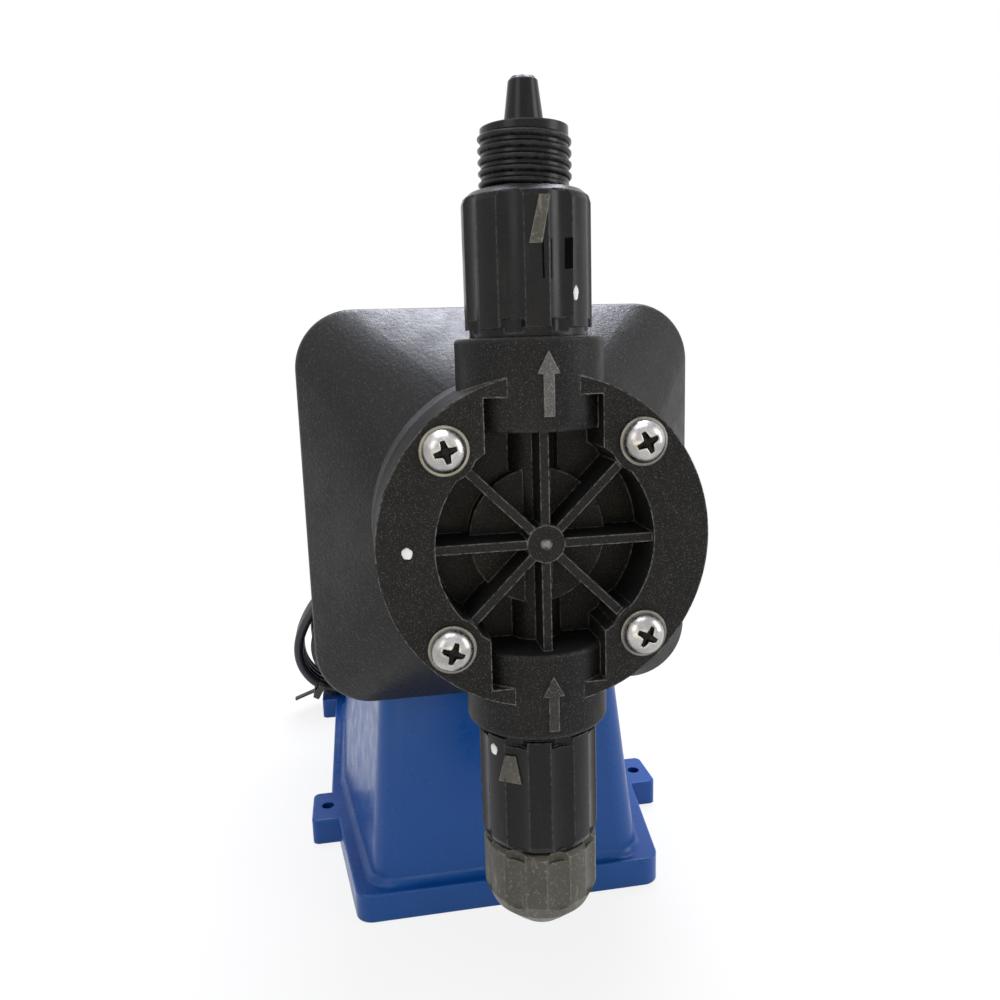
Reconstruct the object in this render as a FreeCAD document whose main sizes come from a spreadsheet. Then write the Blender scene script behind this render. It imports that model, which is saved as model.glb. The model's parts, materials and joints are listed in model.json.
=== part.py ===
import FreeCAD, Part
import math
import os
import re

import Sketcher
from FreeCAD import Placement, Rotation, Vector

# Diaphragm metering pump: a round ribbed liquid end with two ball valves on a
# square solenoid housing, carried by a hollow pedestal with four bolting ears.
# Millimetres. X is across the pump, the liquid end faces -Y, Z is up.
# The origin is the centre of the four ear holes on the pedestal's underside.
# Depths are measured backwards from the front face of the liquid end's ring.

SIZES = {
    # Where the pump's axis lies
    "axis_height": 162.4,
    "face_to_bolts": 210.5,
    # Play between pieces that are held together, and round screws and shafts
    "fit": 0.02,
    "clearance": 0.3,
    # Liquid end
    "ring_radius": 47.2,
    "ring_depth": 24.0,
    "opening_radius": 31.0,
    "opening_depth": 17.0,
    "slot_half": 16.5,
    "slot_reach": 41.0,
    "rib_width": 2.6,
    "rib_recess": 1.4,
    "hub_radius": 5.4,
    "bowl_radius": 20.0,
    "bowl_depth": 12.5,
    "passage_radius": 7.6,
    "passage_bore": 2.4,
    "port_bore": 1.9,
    "port_offset": 9.0,
    "chamber_radius": 22.0,
    "chamber_depth": 2.6,
    "screw_circle": 39.0,
    "screw_land": 9.0,
    # Valve fittings
    "valve_depth": 18.9,
    "collar_radius": 21.4,
    "collar_start": 31.3,
    "collar_end": 56.7,
    "collar_edge": 1.2,
    "collar_trim": 36.0,
    "pocket_radius": 12.8,
    "pocket_length": 8.4,
    "stem_length": 6.8,
    "neck_radius": 16.9,
    "neck_length": 2.4,
    "valve_radius": 18.1,
    "valve_length": 39.1,
    "crown_radius": 15.8,
    "crown_length": 3.0,
    "flute_radius": 9.0,
    "flute_cut": 1.2,
    "flute_start": 1.2,
    "notch_radius": 4.0,
    "notch_cut": 2.4,
    "notch_length": 2.4,
    "thread_radius": 12.2,
    "thread_length": 17.0,
    "flow_bore": 3.2,
    "ball_radius": 4.76,
    "ball_lift": 2.0,
    "cage_radius": 6.0,
    "ball_play": 0.25,
    "stop_play": 0.05,
    "flow_slot": 2.4,
    "flow_slot_height": 2.5,
    "seat_radius": 8.0,
    "seat_bore": 3.4,
    "seat_length": 4.0,
    "seat_inset": 0.6,
    "suction_seat_place": 8.0,
    "seal_radius": 10.0,
    "nozzle_root": 5.7,
    "nozzle_tip": 4.1,
    "nozzle_bore": 2.4,
    "nozzle_length": 13.3,
    "nozzle_plug": 7.5,
    "nozzle_plug_length": 6.0,
    "suction_nozzle_length": 9.0,
    "nut_radius": 17.7,
    "nut_skirt": 17.0,
    "nut_length": 28.6,
    "nut_boss_radius": 9.4,
    "nut_boss_length": 2.4,
    "nut_bore": 6.6,
    "clamp_ring_length": 3.0,
    # Screws of the liquid end
    "screw_shank": 2.4,
    "screw_head_radius": 6.1,
    "screw_head_height": 4.0,
    "screw_length": 36.0,
    "washer_radius": 6.8,
    "washer_thickness": 1.2,
    # Diaphragm and its drive
    "diaphragm_radius": 36.0,
    "diaphragm_rim": 2.4,
    "diaphragm_hub": 8.0,
    "support_radius": 20.0,
    "support_thickness": 3.0,
    "support_gap": 2.2,
    "adapter_depth": 15.7,
    "adapter_wall": 4.0,
    "adapter_cavity": 25.0,
    "shaft_radius": 5.0,
    "bush_radius": 8.0,
    "can_radius": 40.0,
    "can_wall": 3.0,
    "can_end": 6.0,
    "can_length": 92.0,
    "bobbin_radius": 22.5,
    "core_radius": 21.7,
    "pole_length": 40.0,
    "stroke_gap": 2.2,
    "armature_tail": 8.0,
    "spring_wire": 0.8,
    "spring_radius": 8.0,
    "spring_turns": 5.0,
    "spring_pocket": 14.0,
    # Housing
    "housing_half": 69.4,
    "housing_top": 68.3,
    "housing_bottom": 72.0,
    "housing_corner": 20.0,
    "housing_wall": 3.5,
    "snout_length": 32.7,
    "snout_plate": 4.5,
    "housing_length": 172.6,
    "edge_round": 3.0,
    # Rear cover and its controls
    "gasket_thickness": 1.2,
    "cover_depth": 16.0,
    "cover_wall": 3.0,
    "cover_screw_inset": 11.5,
    "cover_screw_radius": 2.0,
    "cover_post_length": 18.0,
    "cover_hole_depth": 15.0,
    "gasket_inset": 0.4,
    "panel_half": 44.0,
    "panel_top": 46.0,
    "panel_bottom": 56.0,
    "panel_sink": 2.0,
    "panel_corner": 6.0,
    "board_half": 40.0,
    "board_drop": 10.0,
    "board_thickness": 1.6,
    "board_gap": 9.0,
    "spindle_radius": 3.0,
    "spindle_hole": 4.6,
    "control_radius": 8.0,
    "knob_radius": 17.0,
    "knob_length": 17.0,
    "knob_gap": 0.5,
    "rate_knob_radius": 11.0,
    "rate_knob_length": 13.0,
    "rate_drop": 38.0,
    "rod_radius": 4.0,
    "rod_gap": 1.4,
    "rod_bush_radius": 9.0,
    "lens_radius": 3.0,
    "lens_side": 26.0,
    "gland_radius": 10.0,
    "gland_length": 17.0,
    "gland_side": 46.0,
    "gland_drop": 30.0,
    # Pedestal
    "flange_height": 11.5,
    "flange_front": 73.3,
    "flange_back": 296.0,
    "flange_front_half": 60.4,
    "flange_half": 72.0,
    "flange_corner": 7.0,
    "ear_reach": 80.2,
    "ear_length": 24.0,
    "ear_corner": 3.0,
    "hole_side": 73.2,
    "hole_radius": 2.8,
    "front_hole": 143.5,
    "pedestal_front": 78.0,
    "pedestal_knee": 165.0,
    "pedestal_back": 262.0,
    "pedestal_front_half": 53.5,
    "pedestal_half": 66.0,
    "pedestal_lean": 8.0,
    "pedestal_side_lean": 12.0,
    "pedestal_corner": 10.0,
    "pedestal_wall": 3.6,
    "pedestal_roof": 4.0,
    "knee_round": 30.0,
    "flange_knee_round": 20.0,
    "flange_cove": 3.0,
    "flange_edge": 0.8,
    "base_screw_radius": 2.0,
    "base_screw_length": 12.0,
    "base_screw_side": 28.0,
    "base_screw_front": 108.0,
    "base_screw_back": 222.0,
    # Mains cord
    "cord_radius": 2.75,
    "coil_depth": 28.0,
    "coil_place": 279.0,
    "small_turn_radius": 22.0,
    "small_turn_side": 57.0,
    "small_turn_rise": 30.0,
    "tie_width": 3.6,
    "tie_thickness": 1.2,
    "tie_tail": 14.0,
    "plug_length": 34.0,
    "plug_width": 24.0,
    "plug_height": 20.0,
    "plug_side": 4.0,
    "blade_length": 16.0,
    "blade_thickness": 1.5,
    "blade_width": 6.4,
    "blade_spacing": 12.7,
    "blade_drop": 5.2,
    "pin_radius": 2.4,
    "pin_rise": 5.6,
}

doc = FreeCAD.newDocument("metering_pump")
sheet = doc.addObject("Spreadsheet::Sheet", "Sizes")
for row, (alias, number) in enumerate(SIZES.items(), start=1):
    sheet.set("A%d" % row, alias)
    sheet.set("B%d" % row, str(number))
    sheet.setAlias("B%d" % row, alias)
doc.recompute()

# Every cell as a number, for the pieces that Part's own functions shape
s = {alias: float(sheet.get(alias)) for alias in SIZES}

WORD = re.compile(r"[a-z][a-z_]*[a-z]")


def bound(text):
    """Turn plain words into references to the sheet's cells."""
    return WORD.sub(lambda m: "Sizes." + m.group(0) if m.group(0) in SIZES else m.group(0), text)


# Directions in which a piece's own +Z points once it is placed
UP = Rotation()
DOWN = Rotation(Vector(1, 0, 0), 180)
BACK = Rotation(Vector(1, 0, 0), -90)

parts = {}


def place(thing, turn, x="0", depth="face_to_bolts", rise="0", from_axis=True):
    """Put a piece at x, at a depth behind the ring's face and at a rise over the axis."""
    thing.Placement = Placement(Vector(), turn)
    thing.setExpression("Placement.Base.x", bound(x))
    thing.setExpression("Placement.Base.y", bound("(%s) - face_to_bolts" % depth))
    start = "axis_height + " if from_axis else ""
    thing.setExpression("Placement.Base.z", bound("%s(%s)" % (start, rise)))
    return thing


def solid(kind, name, turn=UP, x="0", depth="face_to_bolts", rise="0", from_axis=True, **sizes):
    """Make a Part primitive whose sizes and place follow the sheet."""
    thing = doc.addObject("Part::" + kind, name)
    for prop, text in sizes.items():
        thing.setExpression(prop, bound(text))
    return place(thing, turn, x, depth, rise, from_axis)


def fuse(name, shapes):
    thing = doc.addObject("Part::MultiFuse", name)
    thing.Shapes = shapes
    return thing


def cut(name, base, tools):
    thing = doc.addObject("Part::Cut", name)
    thing.Base = base
    thing.Tool = tools[0] if len(tools) == 1 else fuse(name + "_tools", tools)
    return thing


def common(name, base, tool):
    thing = doc.addObject("Part::Common", name)
    thing.Base = base
    thing.Tool = tool
    return thing


def origin_plane(body, role):
    return [f for f in body.Origin.OriginFeatures if f.Role == role][0]


def profile(body, name, role, corners):
    """Sketch a closed outline whose corners are pairs of bound sizes."""
    sketch = body.newObject("Sketcher::SketchObject", name)
    sketch.AttachmentSupport = [(origin_plane(body, role), "")]
    sketch.MapMode = "FlatFace"
    count = len(corners)
    spots = [Vector(10 + 5 * math.cos(i), 5 * math.sin(i), 0) for i in range(count)]
    for i in range(count):
        sketch.addGeometry(Part.LineSegment(spots[i], spots[(i + 1) % count]), False)
    for i in range(count):
        sketch.addConstraint(Sketcher.Constraint("Coincident", i, 2, (i + 1) % count, 1))
    for i, (across, along) in enumerate(corners):
        for text, rule, axis in ((across, "DistanceX", -2), (along, "DistanceY", -1)):
            if text == "0":
                sketch.addConstraint(Sketcher.Constraint("PointOnObject", i, 1, axis))
                continue
            index = sketch.addConstraint(Sketcher.Constraint(rule, -1, 1, i, 1, 1.0))
            sketch.setExpression("Constraints[%d]" % index, bound(text))
    return sketch


def turned(name, corners, turn=BACK, x="0", depth="0", rise="0"):
    """Revolve an outline of radius and length pairs about the piece's own Z."""
    body = doc.addObject("PartDesign::Body", name)
    sketch = profile(body, name + "_outline", "XZ_Plane", corners)
    spin = body.newObject("PartDesign::Revolution", name + "_turned")
    spin.Profile = sketch
    spin.ReferenceAxis = (sketch, ["V_Axis"])
    spin.Angle = 360
    sketch.Visibility = False
    doc.recompute()
    return place(body, turn, x, depth, rise)


def fluted(body, name, groove_radius, cut_depth, wall_radius, start, length, count, angle=0.0):
    """Cut round grooves along a turned piece, evenly round its axis from an angle in degrees."""
    sketch = body.newObject("Sketcher::SketchObject", name + "_groove_outline")
    sketch.AttachmentSupport = [(origin_plane(body, "XY_Plane"), "")]
    sketch.MapMode = "FlatFace"
    sketch.AttachmentOffset = Placement(Vector(), Rotation(Vector(0, 0, 1), angle))
    sketch.setExpression("AttachmentOffset.Base.z", bound(start))
    sketch.addGeometry(Part.Circle(Vector(20, 0, 0), Vector(0, 0, 1), 3), False)
    sketch.addConstraint(Sketcher.Constraint("PointOnObject", 0, 3, -1))
    reach = sketch.addConstraint(Sketcher.Constraint("DistanceX", -1, 1, 0, 3, 20.0))
    sketch.setExpression("Constraints[%d]" % reach,
                         bound("%s + %s - %s" % (wall_radius, groove_radius, cut_depth)))
    size = sketch.addConstraint(Sketcher.Constraint("Radius", 0, 3.0))
    sketch.setExpression("Constraints[%d]" % size, bound(groove_radius))
    doc.recompute()
    before = body.Shape.Volume
    groove = body.newObject("PartDesign::Pocket", name + "_groove")
    groove.Profile = sketch
    groove.Type = 0
    groove.Reversed = True
    groove.setExpression("Length", bound(length))
    doc.recompute()
    pattern = body.newObject("PartDesign::PolarPattern", name + "_grooves")
    pattern.Originals = [groove]
    pattern.Axis = (origin_axis(body), [""])
    pattern.Angle = 360
    pattern.Occurrences = count
    body.Tip = pattern
    sketch.Visibility = False
    doc.recompute()
    if body.Shape.Volume >= before:
        raise RuntimeError(name + ": the grooves cut nothing")
    return body


def origin_axis(body):
    return [f for f in body.Origin.OriginFeatures if f.Role == "Z_Axis"][0]


def shaped(name, shape):
    """Keep a shape made with Part's functions as an object of its own."""
    thing = doc.addObject("Part::Feature", name)
    thing.Shape = shape
    return thing


def keep(name, thing):
    thing.Label = name
    parts[name] = thing
    return thing


def ring_points(radius, turn=45, count=4):
    """Spots evenly spaced on a circle round the pump's axis, as bound x and rise."""
    spots = []
    for i in range(count):
        angle = math.radians(turn + 360 * i / count)
        spots.append(("(%s) * %.6f" % (radius, math.cos(angle)),
                      "(%s) * %.6f" % (radius, math.sin(angle))))
    return spots


RING_SCREWS = ring_points("screw_circle")

# Liquid end: ring, ribs, hub, bowl, vertical passage and the two collars


def level(kind, name, turn=UP, **where):
    """A primitive of the liquid end, made round its own axis before the whole is raised."""
    return solid(kind, name, turn, from_axis=False, **where)


def pump_head():
    ring = level("Cylinder", "head_ring", BACK, depth="0", Radius="ring_radius", Height="ring_depth")
    opening = level("Cylinder", "head_opening", BACK, depth="0",
                    Radius="opening_radius", Height="opening_depth")
    slot = level("Box", "head_slot", x="-slot_half", depth="0", rise="-slot_reach",
                 Length="2 * slot_half", Width="opening_depth", Height="2 * slot_reach")
    lands = [level("Cylinder", "screw_land_%d" % i, BACK, x=x, depth="0", rise=rise,
                   Radius="screw_land", Height="opening_depth")
             for i, (x, rise) in enumerate(RING_SCREWS)]
    hollow = cut("head_hollow", fuse("head_window", [opening, slot]), lands)
    rim = cut("head_rim", ring, [hollow])

    pieces = [rim]
    for i in range(4):
        turn = Rotation(Vector(0, 1, 0), 45.0 * i)
        reach = "collar_start + 1" if i == 0 else "opening_radius + 0.5"
        rib = doc.addObject("Part::Box", "head_rib_%d" % i)
        rib.setExpression("Length", bound("rib_width"))
        rib.setExpression("Width", bound("opening_depth - rib_recess + 1"))
        rib.setExpression("Height", bound("2 * (%s)" % reach))
        side = math.radians(45.0 * i)
        rib.Placement = Placement(Vector(), turn)
        rib.setExpression("Placement.Base.x", bound("-rib_width / 2 * %.6f - (%s) * %.6f"
                                                    % (math.cos(side), reach, math.sin(side))))
        rib.setExpression("Placement.Base.y", bound("rib_recess - face_to_bolts"))
        rib.setExpression("Placement.Base.z", bound("rib_width / 2 * %.6f - (%s) * %.6f"
                                                    % (math.sin(side), reach, math.cos(side))))
        pieces.append(rib)
    pieces.append(level("Cylinder", "head_hub", BACK, depth="rib_recess - 0.4",
                        Radius="hub_radius", Height="opening_depth"))
    pieces.append(level("Cylinder", "head_bowl", BACK, depth="bowl_depth",
                        Radius="bowl_radius", Height="ring_depth - bowl_depth"))
    pieces.append(level("Cylinder", "head_passage", depth="valve_depth", rise="-collar_start - 1",
                        Radius="passage_radius", Height="2 * collar_start + 2"))
    for name, turn, sign in (("discharge", UP, ""), ("suction", DOWN, "-")):
        collar = level("Cylinder", name + "_collar_blank", turn, depth="valve_depth",
                       rise=sign + "collar_start", Radius="collar_radius",
                       Height="collar_end - collar_start")
        doc.recompute()
        rounded = doc.addObject("Part::Fillet", name + "_collar")
        rounded.Base = collar
        edges = [i + 1 for i, edge in enumerate(collar.Shape.Edges)
                 if len(edge.Vertexes) == 1 and edge.Curve.TypeId == "Part::GeomCircle"]
        rounded.Edges = [(i, s["collar_edge"], s["collar_edge"]) for i in edges]
        pieces.append(rounded)
    blank = fuse("head_blank", pieces)

    tools = [level("Cylinder", "head_seat_trim", BACK, depth="ring_depth",
                   Radius="ring_radius + 0.5", Height="2 * collar_radius"),
             level("Box", "collar_trim_box", x="-2 * collar_radius", depth="collar_trim",
                   rise="-2 * collar_end", Length="4 * collar_radius", Width="2 * collar_radius",
                   Height="4 * collar_end"),
             level("Cylinder", "head_chamber", BACK, depth="ring_depth - chamber_depth",
                   Radius="chamber_radius", Height="chamber_depth + 1")]
    for name, turn, sign in (("discharge", UP, ""), ("suction", DOWN, "-")):
        tools.append(level("Cylinder", name + "_pocket", turn, depth="valve_depth",
                           rise="%s(collar_end - pocket_length)" % sign,
                           Radius="pocket_radius", Height="pocket_length + 1"))
        tools.append(level("Cylinder", name + "_way", turn, depth="valve_depth",
                           rise="%s(port_offset - passage_bore)" % sign, Radius="passage_bore",
                           Height="collar_end - pocket_length - port_offset + passage_bore + 1"))
        tools.append(level("Cylinder", name + "_port", BACK, depth="valve_depth",
                           rise="%sport_offset" % sign, Radius="port_bore", Height="ring_depth"))
    for i, (x, rise) in enumerate(RING_SCREWS):
        tools.append(level("Cylinder", "head_screw_hole_%d" % i, BACK, x=x, depth="-1", rise=rise,
                           Radius="screw_shank + clearance", Height="ring_depth + 2"))
    for i, tool in enumerate(tools):
        blank = cut("pump_head_cut_%d" % i, blank, [tool])
    return place(blank, UP)


keep("pump_head", pump_head())


def washers():
    rings = []
    for i, (x, rise) in enumerate(RING_SCREWS):
        disc = solid("Cylinder", "washer_disc_%d" % i, BACK, x=x, depth="-washer_thickness",
                     rise=rise, Radius="washer_radius", Height="washer_thickness")
        hole = solid("Cylinder", "washer_hole_%d" % i, BACK, x=x, depth="-washer_thickness - 1",
                     rise=rise, Radius="screw_shank + clearance", Height="washer_thickness + 2")
        rings.append(cut("washer_%d" % i, disc, [hole]))
    return group("washer_group", rings)


def group(name, shapes):
    """Several separate solids in one object."""
    thing = doc.addObject("Part::Compound", name)
    thing.Links = shapes
    return thing


def pan_screws(name, spots, depth, head_radius, head_height, shank, length):
    """Pan head screws that point backwards, their heads on a seat at the given depth."""
    screws = []
    for i, (x, rise) in enumerate(spots):
        head = solid("Sphere", "%s_dome_%d" % (name, i), BACK, x=x, rise=rise,
                     depth="(%s) + (%s)^2 / (2 * (%s)) - (%s) / 2"
                           % (depth, head_radius, head_height, head_height),
                     Radius="(%s)^2 / (2 * (%s)) + (%s) / 2" % (head_radius, head_height, head_height))
        block = solid("Cylinder", "%s_head_%d" % (name, i), BACK, x=x, rise=rise,
                      depth="(%s) - (%s)" % (depth, head_height),
                      Radius=head_radius, Height=head_height)
        dome = common("%s_pan_%d" % (name, i), block, head)
        stem = solid("Cylinder", "%s_shank_%d" % (name, i), BACK, x=x, rise=rise, depth=depth,
                     Radius=shank, Height=length)
        screws.append(fuse("%s_%d" % (name, i), [dome, stem]))
    return group(name + "_group", screws)


keep("head_washers", washers())
keep("head_screws", pan_screws("head_screw", RING_SCREWS, "-washer_thickness", "screw_head_radius",
                               "screw_head_height", "screw_shank", "screw_length"))

# Valve cartridges: fluted bodies that screw into the collars, with ball, seat and seal
FLUTES = 8
# How far each fitting stands screwed round, in degrees about its own axis
UPPER_TURN = 19.6
LOWER_TURN = -12.1
NUT_TURN = -6.7


def notched(body, name, wall_radius, start, length, angle):
    """Cut a deeper notch into each flute's end, where a wrench's pins catch."""
    return fluted(body, name + "_notch", "notch_radius", "notch_cut", wall_radius, start, length,
                  FLUTES, angle)


def valve_body(name, turn, sign, angle, inside):
    outline = [("pocket_radius - 0.2", "-stem_length"), ("pocket_radius - 0.2", "0"),
               ("neck_radius", "0"), ("neck_radius", "neck_length"),
               ("valve_radius", "neck_length"), ("valve_radius", "valve_length - crown_length"),
               ("valve_radius - 0.5", "valve_length - crown_length / 2"),
               ("crown_radius", "valve_length"), ("thread_radius", "valve_length"),
               ("thread_radius", "valve_length + thread_length"),
               ("nozzle_plug", "valve_length + thread_length"),
               ("nozzle_plug", "valve_length + thread_length - nozzle_plug_length"),
               ("flow_bore", "valve_length + thread_length - nozzle_plug_length")] + inside
    body = turned(name, outline, turn, depth="valve_depth", rise="%scollar_end" % sign)
    body = fluted(body, name, "flute_radius", "flute_cut", "valve_radius", "flute_start",
                  "valve_length - crown_length / 2 - flute_start", FLUTES, angle)
    return notched(body, name, "valve_radius", "flute_start",
                   "neck_length + notch_length - flute_start", angle)


def flow_slots(name, thing, stop):
    """Cut a cross into a ball's stop, so that liquid passes the lifted ball."""
    across = solid("Box", name + "_slot_across", x="-cage_radius",
                   depth="valve_depth - flow_slot / 2", rise=stop,
                   Length="2 * cage_radius", Width="flow_slot", Height="flow_slot_height")
    along = solid("Box", name + "_slot_along", x="-flow_slot / 2",
                  depth="valve_depth - cage_radius", rise=stop,
                  Length="flow_slot", Width="2 * cage_radius", Height="flow_slot_height")
    return cut(name + "_slotted", thing, [across, along])


# Heights over a seat's top: the resting ball's centre, and the ring that stops the lifted ball
BALL_RISE = "(ball_radius^2 - seat_bore^2)^0.5 + ball_play"
STOP_RISE = BALL_RISE + " + ball_lift + (ball_radius^2 - flow_bore^2)^0.5 + stop_play"
DISCHARGE_STOP = "seat_length - stem_length + seat_inset + " + STOP_RISE
SUCTION_STOP = STOP_RISE + " - suction_seat_place"

# In the discharge valve the seat lies at the stem's end, in the suction valve beyond the ball
keep("discharge_valve", flow_slots("discharge_stop", valve_body("discharge_body", UP, "", UPPER_TURN, [
    ("flow_bore", DISCHARGE_STOP), ("cage_radius", DISCHARGE_STOP),
    ("cage_radius", "seat_length - stem_length + seat_inset"),
    ("seat_radius", "seat_length - stem_length + seat_inset"),
    ("seat_radius", "-stem_length")]), "collar_end + " + DISCHARGE_STOP))
keep("suction_valve", valve_body("suction_body", DOWN, "-", LOWER_TURN, [
    ("flow_bore", "suction_seat_place + seat_length"),
    ("seat_radius", "suction_seat_place + seat_length"), ("seat_radius", "-stem_length")]))

SEAT_RISE = {"discharge": "collar_end - stem_length + seat_inset",
             "suction": "-collar_end - suction_seat_place - seat_length"}
for side in ("discharge", "suction"):
    rise = SEAT_RISE[side]
    seat = turned(side + "_seat_ring", [("seat_bore", "0"), ("seat_radius - fit", "0"),
                                        ("seat_radius - fit", "seat_length"),
                                        ("seat_bore", "seat_length")],
                  UP, depth="valve_depth", rise=rise)
    keep(side + "_seat", seat)
    ball = solid("Sphere", side + "_ball_sphere", depth="valve_depth", Radius="ball_radius",
                 rise="%s + seat_length + %s" % (rise, BALL_RISE))
    keep(side + "_ball", ball)
    sign = "" if side == "discharge" else "-"
    seal = solid("Torus", side + "_seal_ring", depth="valve_depth",
                 rise="%s(collar_end - (pocket_length + stem_length) / 2)" % sign,
                 Radius1="seal_radius", Radius2="(pocket_length - stem_length) / 2 - fit")
    keep(side + "_seal", seal)
# A sleeve holds the suction ball's way up and carries its stop
keep("suction_cage", flow_slots("suction_stop", turned("suction_cage_sleeve", [
    ("cage_radius", "-suction_seat_place"), ("seat_radius - fit", "-suction_seat_place"),
    ("seat_radius - fit", "stem_length - seat_inset"), ("flow_bore", "stem_length - seat_inset"),
    ("flow_bore", SUCTION_STOP), ("cage_radius", SUCTION_STOP)],
    UP, depth="valve_depth", rise="-collar_end"), "-collar_end + " + SUCTION_STOP))


def nozzle(name, turn, sign, length):
    return turned(name, [
        ("nozzle_bore", "-nozzle_plug_length"), ("nozzle_plug - fit", "-nozzle_plug_length"),
        ("nozzle_plug - fit", "0"), ("nozzle_root", "0"), ("nozzle_tip", "%s - 1" % length),
        ("nozzle_tip - 0.9", length), ("nozzle_bore", length)],
        turn, depth="valve_depth", rise="%s(collar_end + valve_length + thread_length)" % sign)


keep("discharge_nozzle", nozzle("discharge_nozzle_body", UP, "", "nozzle_length"))
keep("suction_nozzle", nozzle("suction_nozzle_body", DOWN, "-", "suction_nozzle_length"))

keep("suction_cap_nut", notched(fluted(turned("cap_nut_body", [
    ("thread_radius + 0.1", "0"), ("nut_radius - 1.2", "0"), ("nut_radius", "1.2"),
    ("nut_radius", "nut_skirt"), ("nut_radius - 2.2", "(nut_skirt + nut_length - nut_boss_length) / 2"),
    ("nut_boss_radius + 1.2", "nut_length - nut_boss_length"),
    ("nut_boss_radius", "nut_length - nut_boss_length + 0.8"), ("nut_boss_radius - 1.6", "nut_length"),
    ("nut_bore", "nut_length"), ("nut_bore", "thread_length + clamp_ring_length + clearance"),
    ("thread_radius + 0.1", "thread_length + clamp_ring_length + clearance")],
    DOWN, depth="valve_depth", rise="-collar_end - valve_length - 0.3"),
    "cap_nut", "flute_radius", "flute_cut", "nut_radius", "0", "nut_skirt + 1", FLUTES, NUT_TURN),
    "cap_nut", "nut_radius", "0", "notch_length", NUT_TURN))
keep("tube_clamp_ring", turned("clamp_ring_body", [
    ("nozzle_root + 0.4", "0"), ("thread_radius - 0.1", "0"),
    ("thread_radius - 0.1", "clamp_ring_length - 0.2"), ("nut_bore", "clamp_ring_length - 0.2")],
    DOWN, depth="valve_depth", rise="-collar_end - valve_length - thread_length - 0.2"))

# Diaphragm, its support disc, the adapter ring and the shaft's bush
keep("diaphragm", turned("diaphragm_disc", [
    ("0", "-0.3 * chamber_depth"), ("diaphragm_hub", "-0.3 * chamber_depth"),
    ("chamber_radius - 3", "0.2"), ("diaphragm_radius", "0"), ("diaphragm_radius", "diaphragm_rim"),
    ("chamber_radius", "diaphragm_rim"), ("diaphragm_hub", "diaphragm_rim + support_gap"),
    ("0", "diaphragm_rim + support_gap")], depth="ring_depth"))
keep("diaphragm_support", turned("support_disc", [
    ("shaft_radius / 2", "0"), ("diaphragm_hub", "0"), ("support_radius", "support_thickness / 2"),
    ("support_radius", "support_thickness"), ("diaphragm_hub", "support_thickness + 1.5"),
    ("shaft_radius / 2", "support_thickness + 1.5")],
    depth="ring_depth + diaphragm_rim + support_gap"))


def adapter():
    ring = turned("adapter_ring", [
        ("bush_radius + fit", "adapter_depth"), ("bush_radius + fit", "adapter_depth - adapter_wall"),
        ("adapter_cavity", "adapter_depth - adapter_wall"), ("adapter_cavity", "diaphragm_rim"),
        ("diaphragm_radius + clearance", "diaphragm_rim"), ("diaphragm_radius + clearance", "0"),
        ("ring_radius - 0.8", "0"), ("ring_radius - 0.8", "1"), ("ring_radius", "1"),
        ("ring_radius", "adapter_depth")], depth="ring_depth")
    holes = [solid("Cylinder", "adapter_hole_%d" % i, BACK, x=x, depth="ring_depth - 1", rise=rise,
                   Radius="screw_shank + fit", Height="screw_length - ring_depth + 2")
             for i, (x, rise) in enumerate(RING_SCREWS)]
    return cut("adapter_drilled", ring, holes)


keep("adapter_ring", adapter())

SNOUT = "ring_depth + adapter_depth"
FRAME_START = SNOUT + " + snout_plate"
keep("shaft_bush", turned("shaft_bush_body", [
    ("shaft_radius + 0.04", "-adapter_wall"), ("bush_radius", "-adapter_wall"), ("bush_radius", "0"),
    ("bush_radius", "snout_plate"), ("shaft_radius + 0.04", "snout_plate")], depth=SNOUT))

# Solenoid: can, coil, pole piece, armature, shaft and return spring
keep("solenoid_can", cut("solenoid_can_cut", solid(
    "Cylinder", "can_blank", BACK, depth=FRAME_START, Radius="can_radius", Height="can_length"), [
    solid("Cylinder", "can_inside", BACK, depth=FRAME_START + " + can_end",
          Radius="can_radius - can_wall", Height="can_length - 2 * can_end"),
    solid("Cylinder", "can_bore", BACK, depth=FRAME_START + " - 1",
          Radius="core_radius + clearance", Height="can_length + 2")]))
keep("solenoid_coil", turned("coil_winding", [
    ("bobbin_radius", "can_end + 0.1"), ("can_radius - can_wall - 0.3", "can_end + 0.1"),
    ("can_radius - can_wall - 0.3", "can_length - can_end - 0.1"),
    ("bobbin_radius", "can_length - can_end - 0.1")], depth=FRAME_START))
keep("pole_piece", turned("pole_core", [
    ("shaft_radius + clearance", "0"), ("core_radius + clearance - 2 * fit", "0"),
    ("core_radius + clearance - 2 * fit", "can_end"), ("core_radius", "can_end"),
    ("core_radius", "pole_length"),
    ("spring_radius + 2", "pole_length"), ("spring_radius + 2", "pole_length - spring_pocket"),
    ("shaft_radius + clearance", "pole_length - spring_pocket")], depth=FRAME_START))
keep("armature", turned("armature_core", [
    ("shaft_radius + 0.01", "pole_length + stroke_gap"), ("core_radius - 0.1", "pole_length + stroke_gap"),
    ("core_radius - 0.1", "can_length + armature_tail"),
    ("shaft_radius + 0.01", "can_length + armature_tail")], depth=FRAME_START))
SUPPORT_FRONT = "ring_depth + diaphragm_rim + support_gap"
keep("drive_shaft", turned("drive_shaft_rod", [
    ("0", "0"), ("shaft_radius / 2 - 0.01", "0"), ("shaft_radius / 2 - 0.01", "support_thickness + 1.5"),
    ("shaft_radius", "support_thickness + 1.5"),
    ("shaft_radius", "adapter_depth + snout_plate + can_length + armature_tail"
                     " - diaphragm_rim - support_gap"),
    ("0", "adapter_depth + snout_plate + can_length + armature_tail - diaphragm_rim - support_gap")],
    depth=SUPPORT_FRONT))


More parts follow.
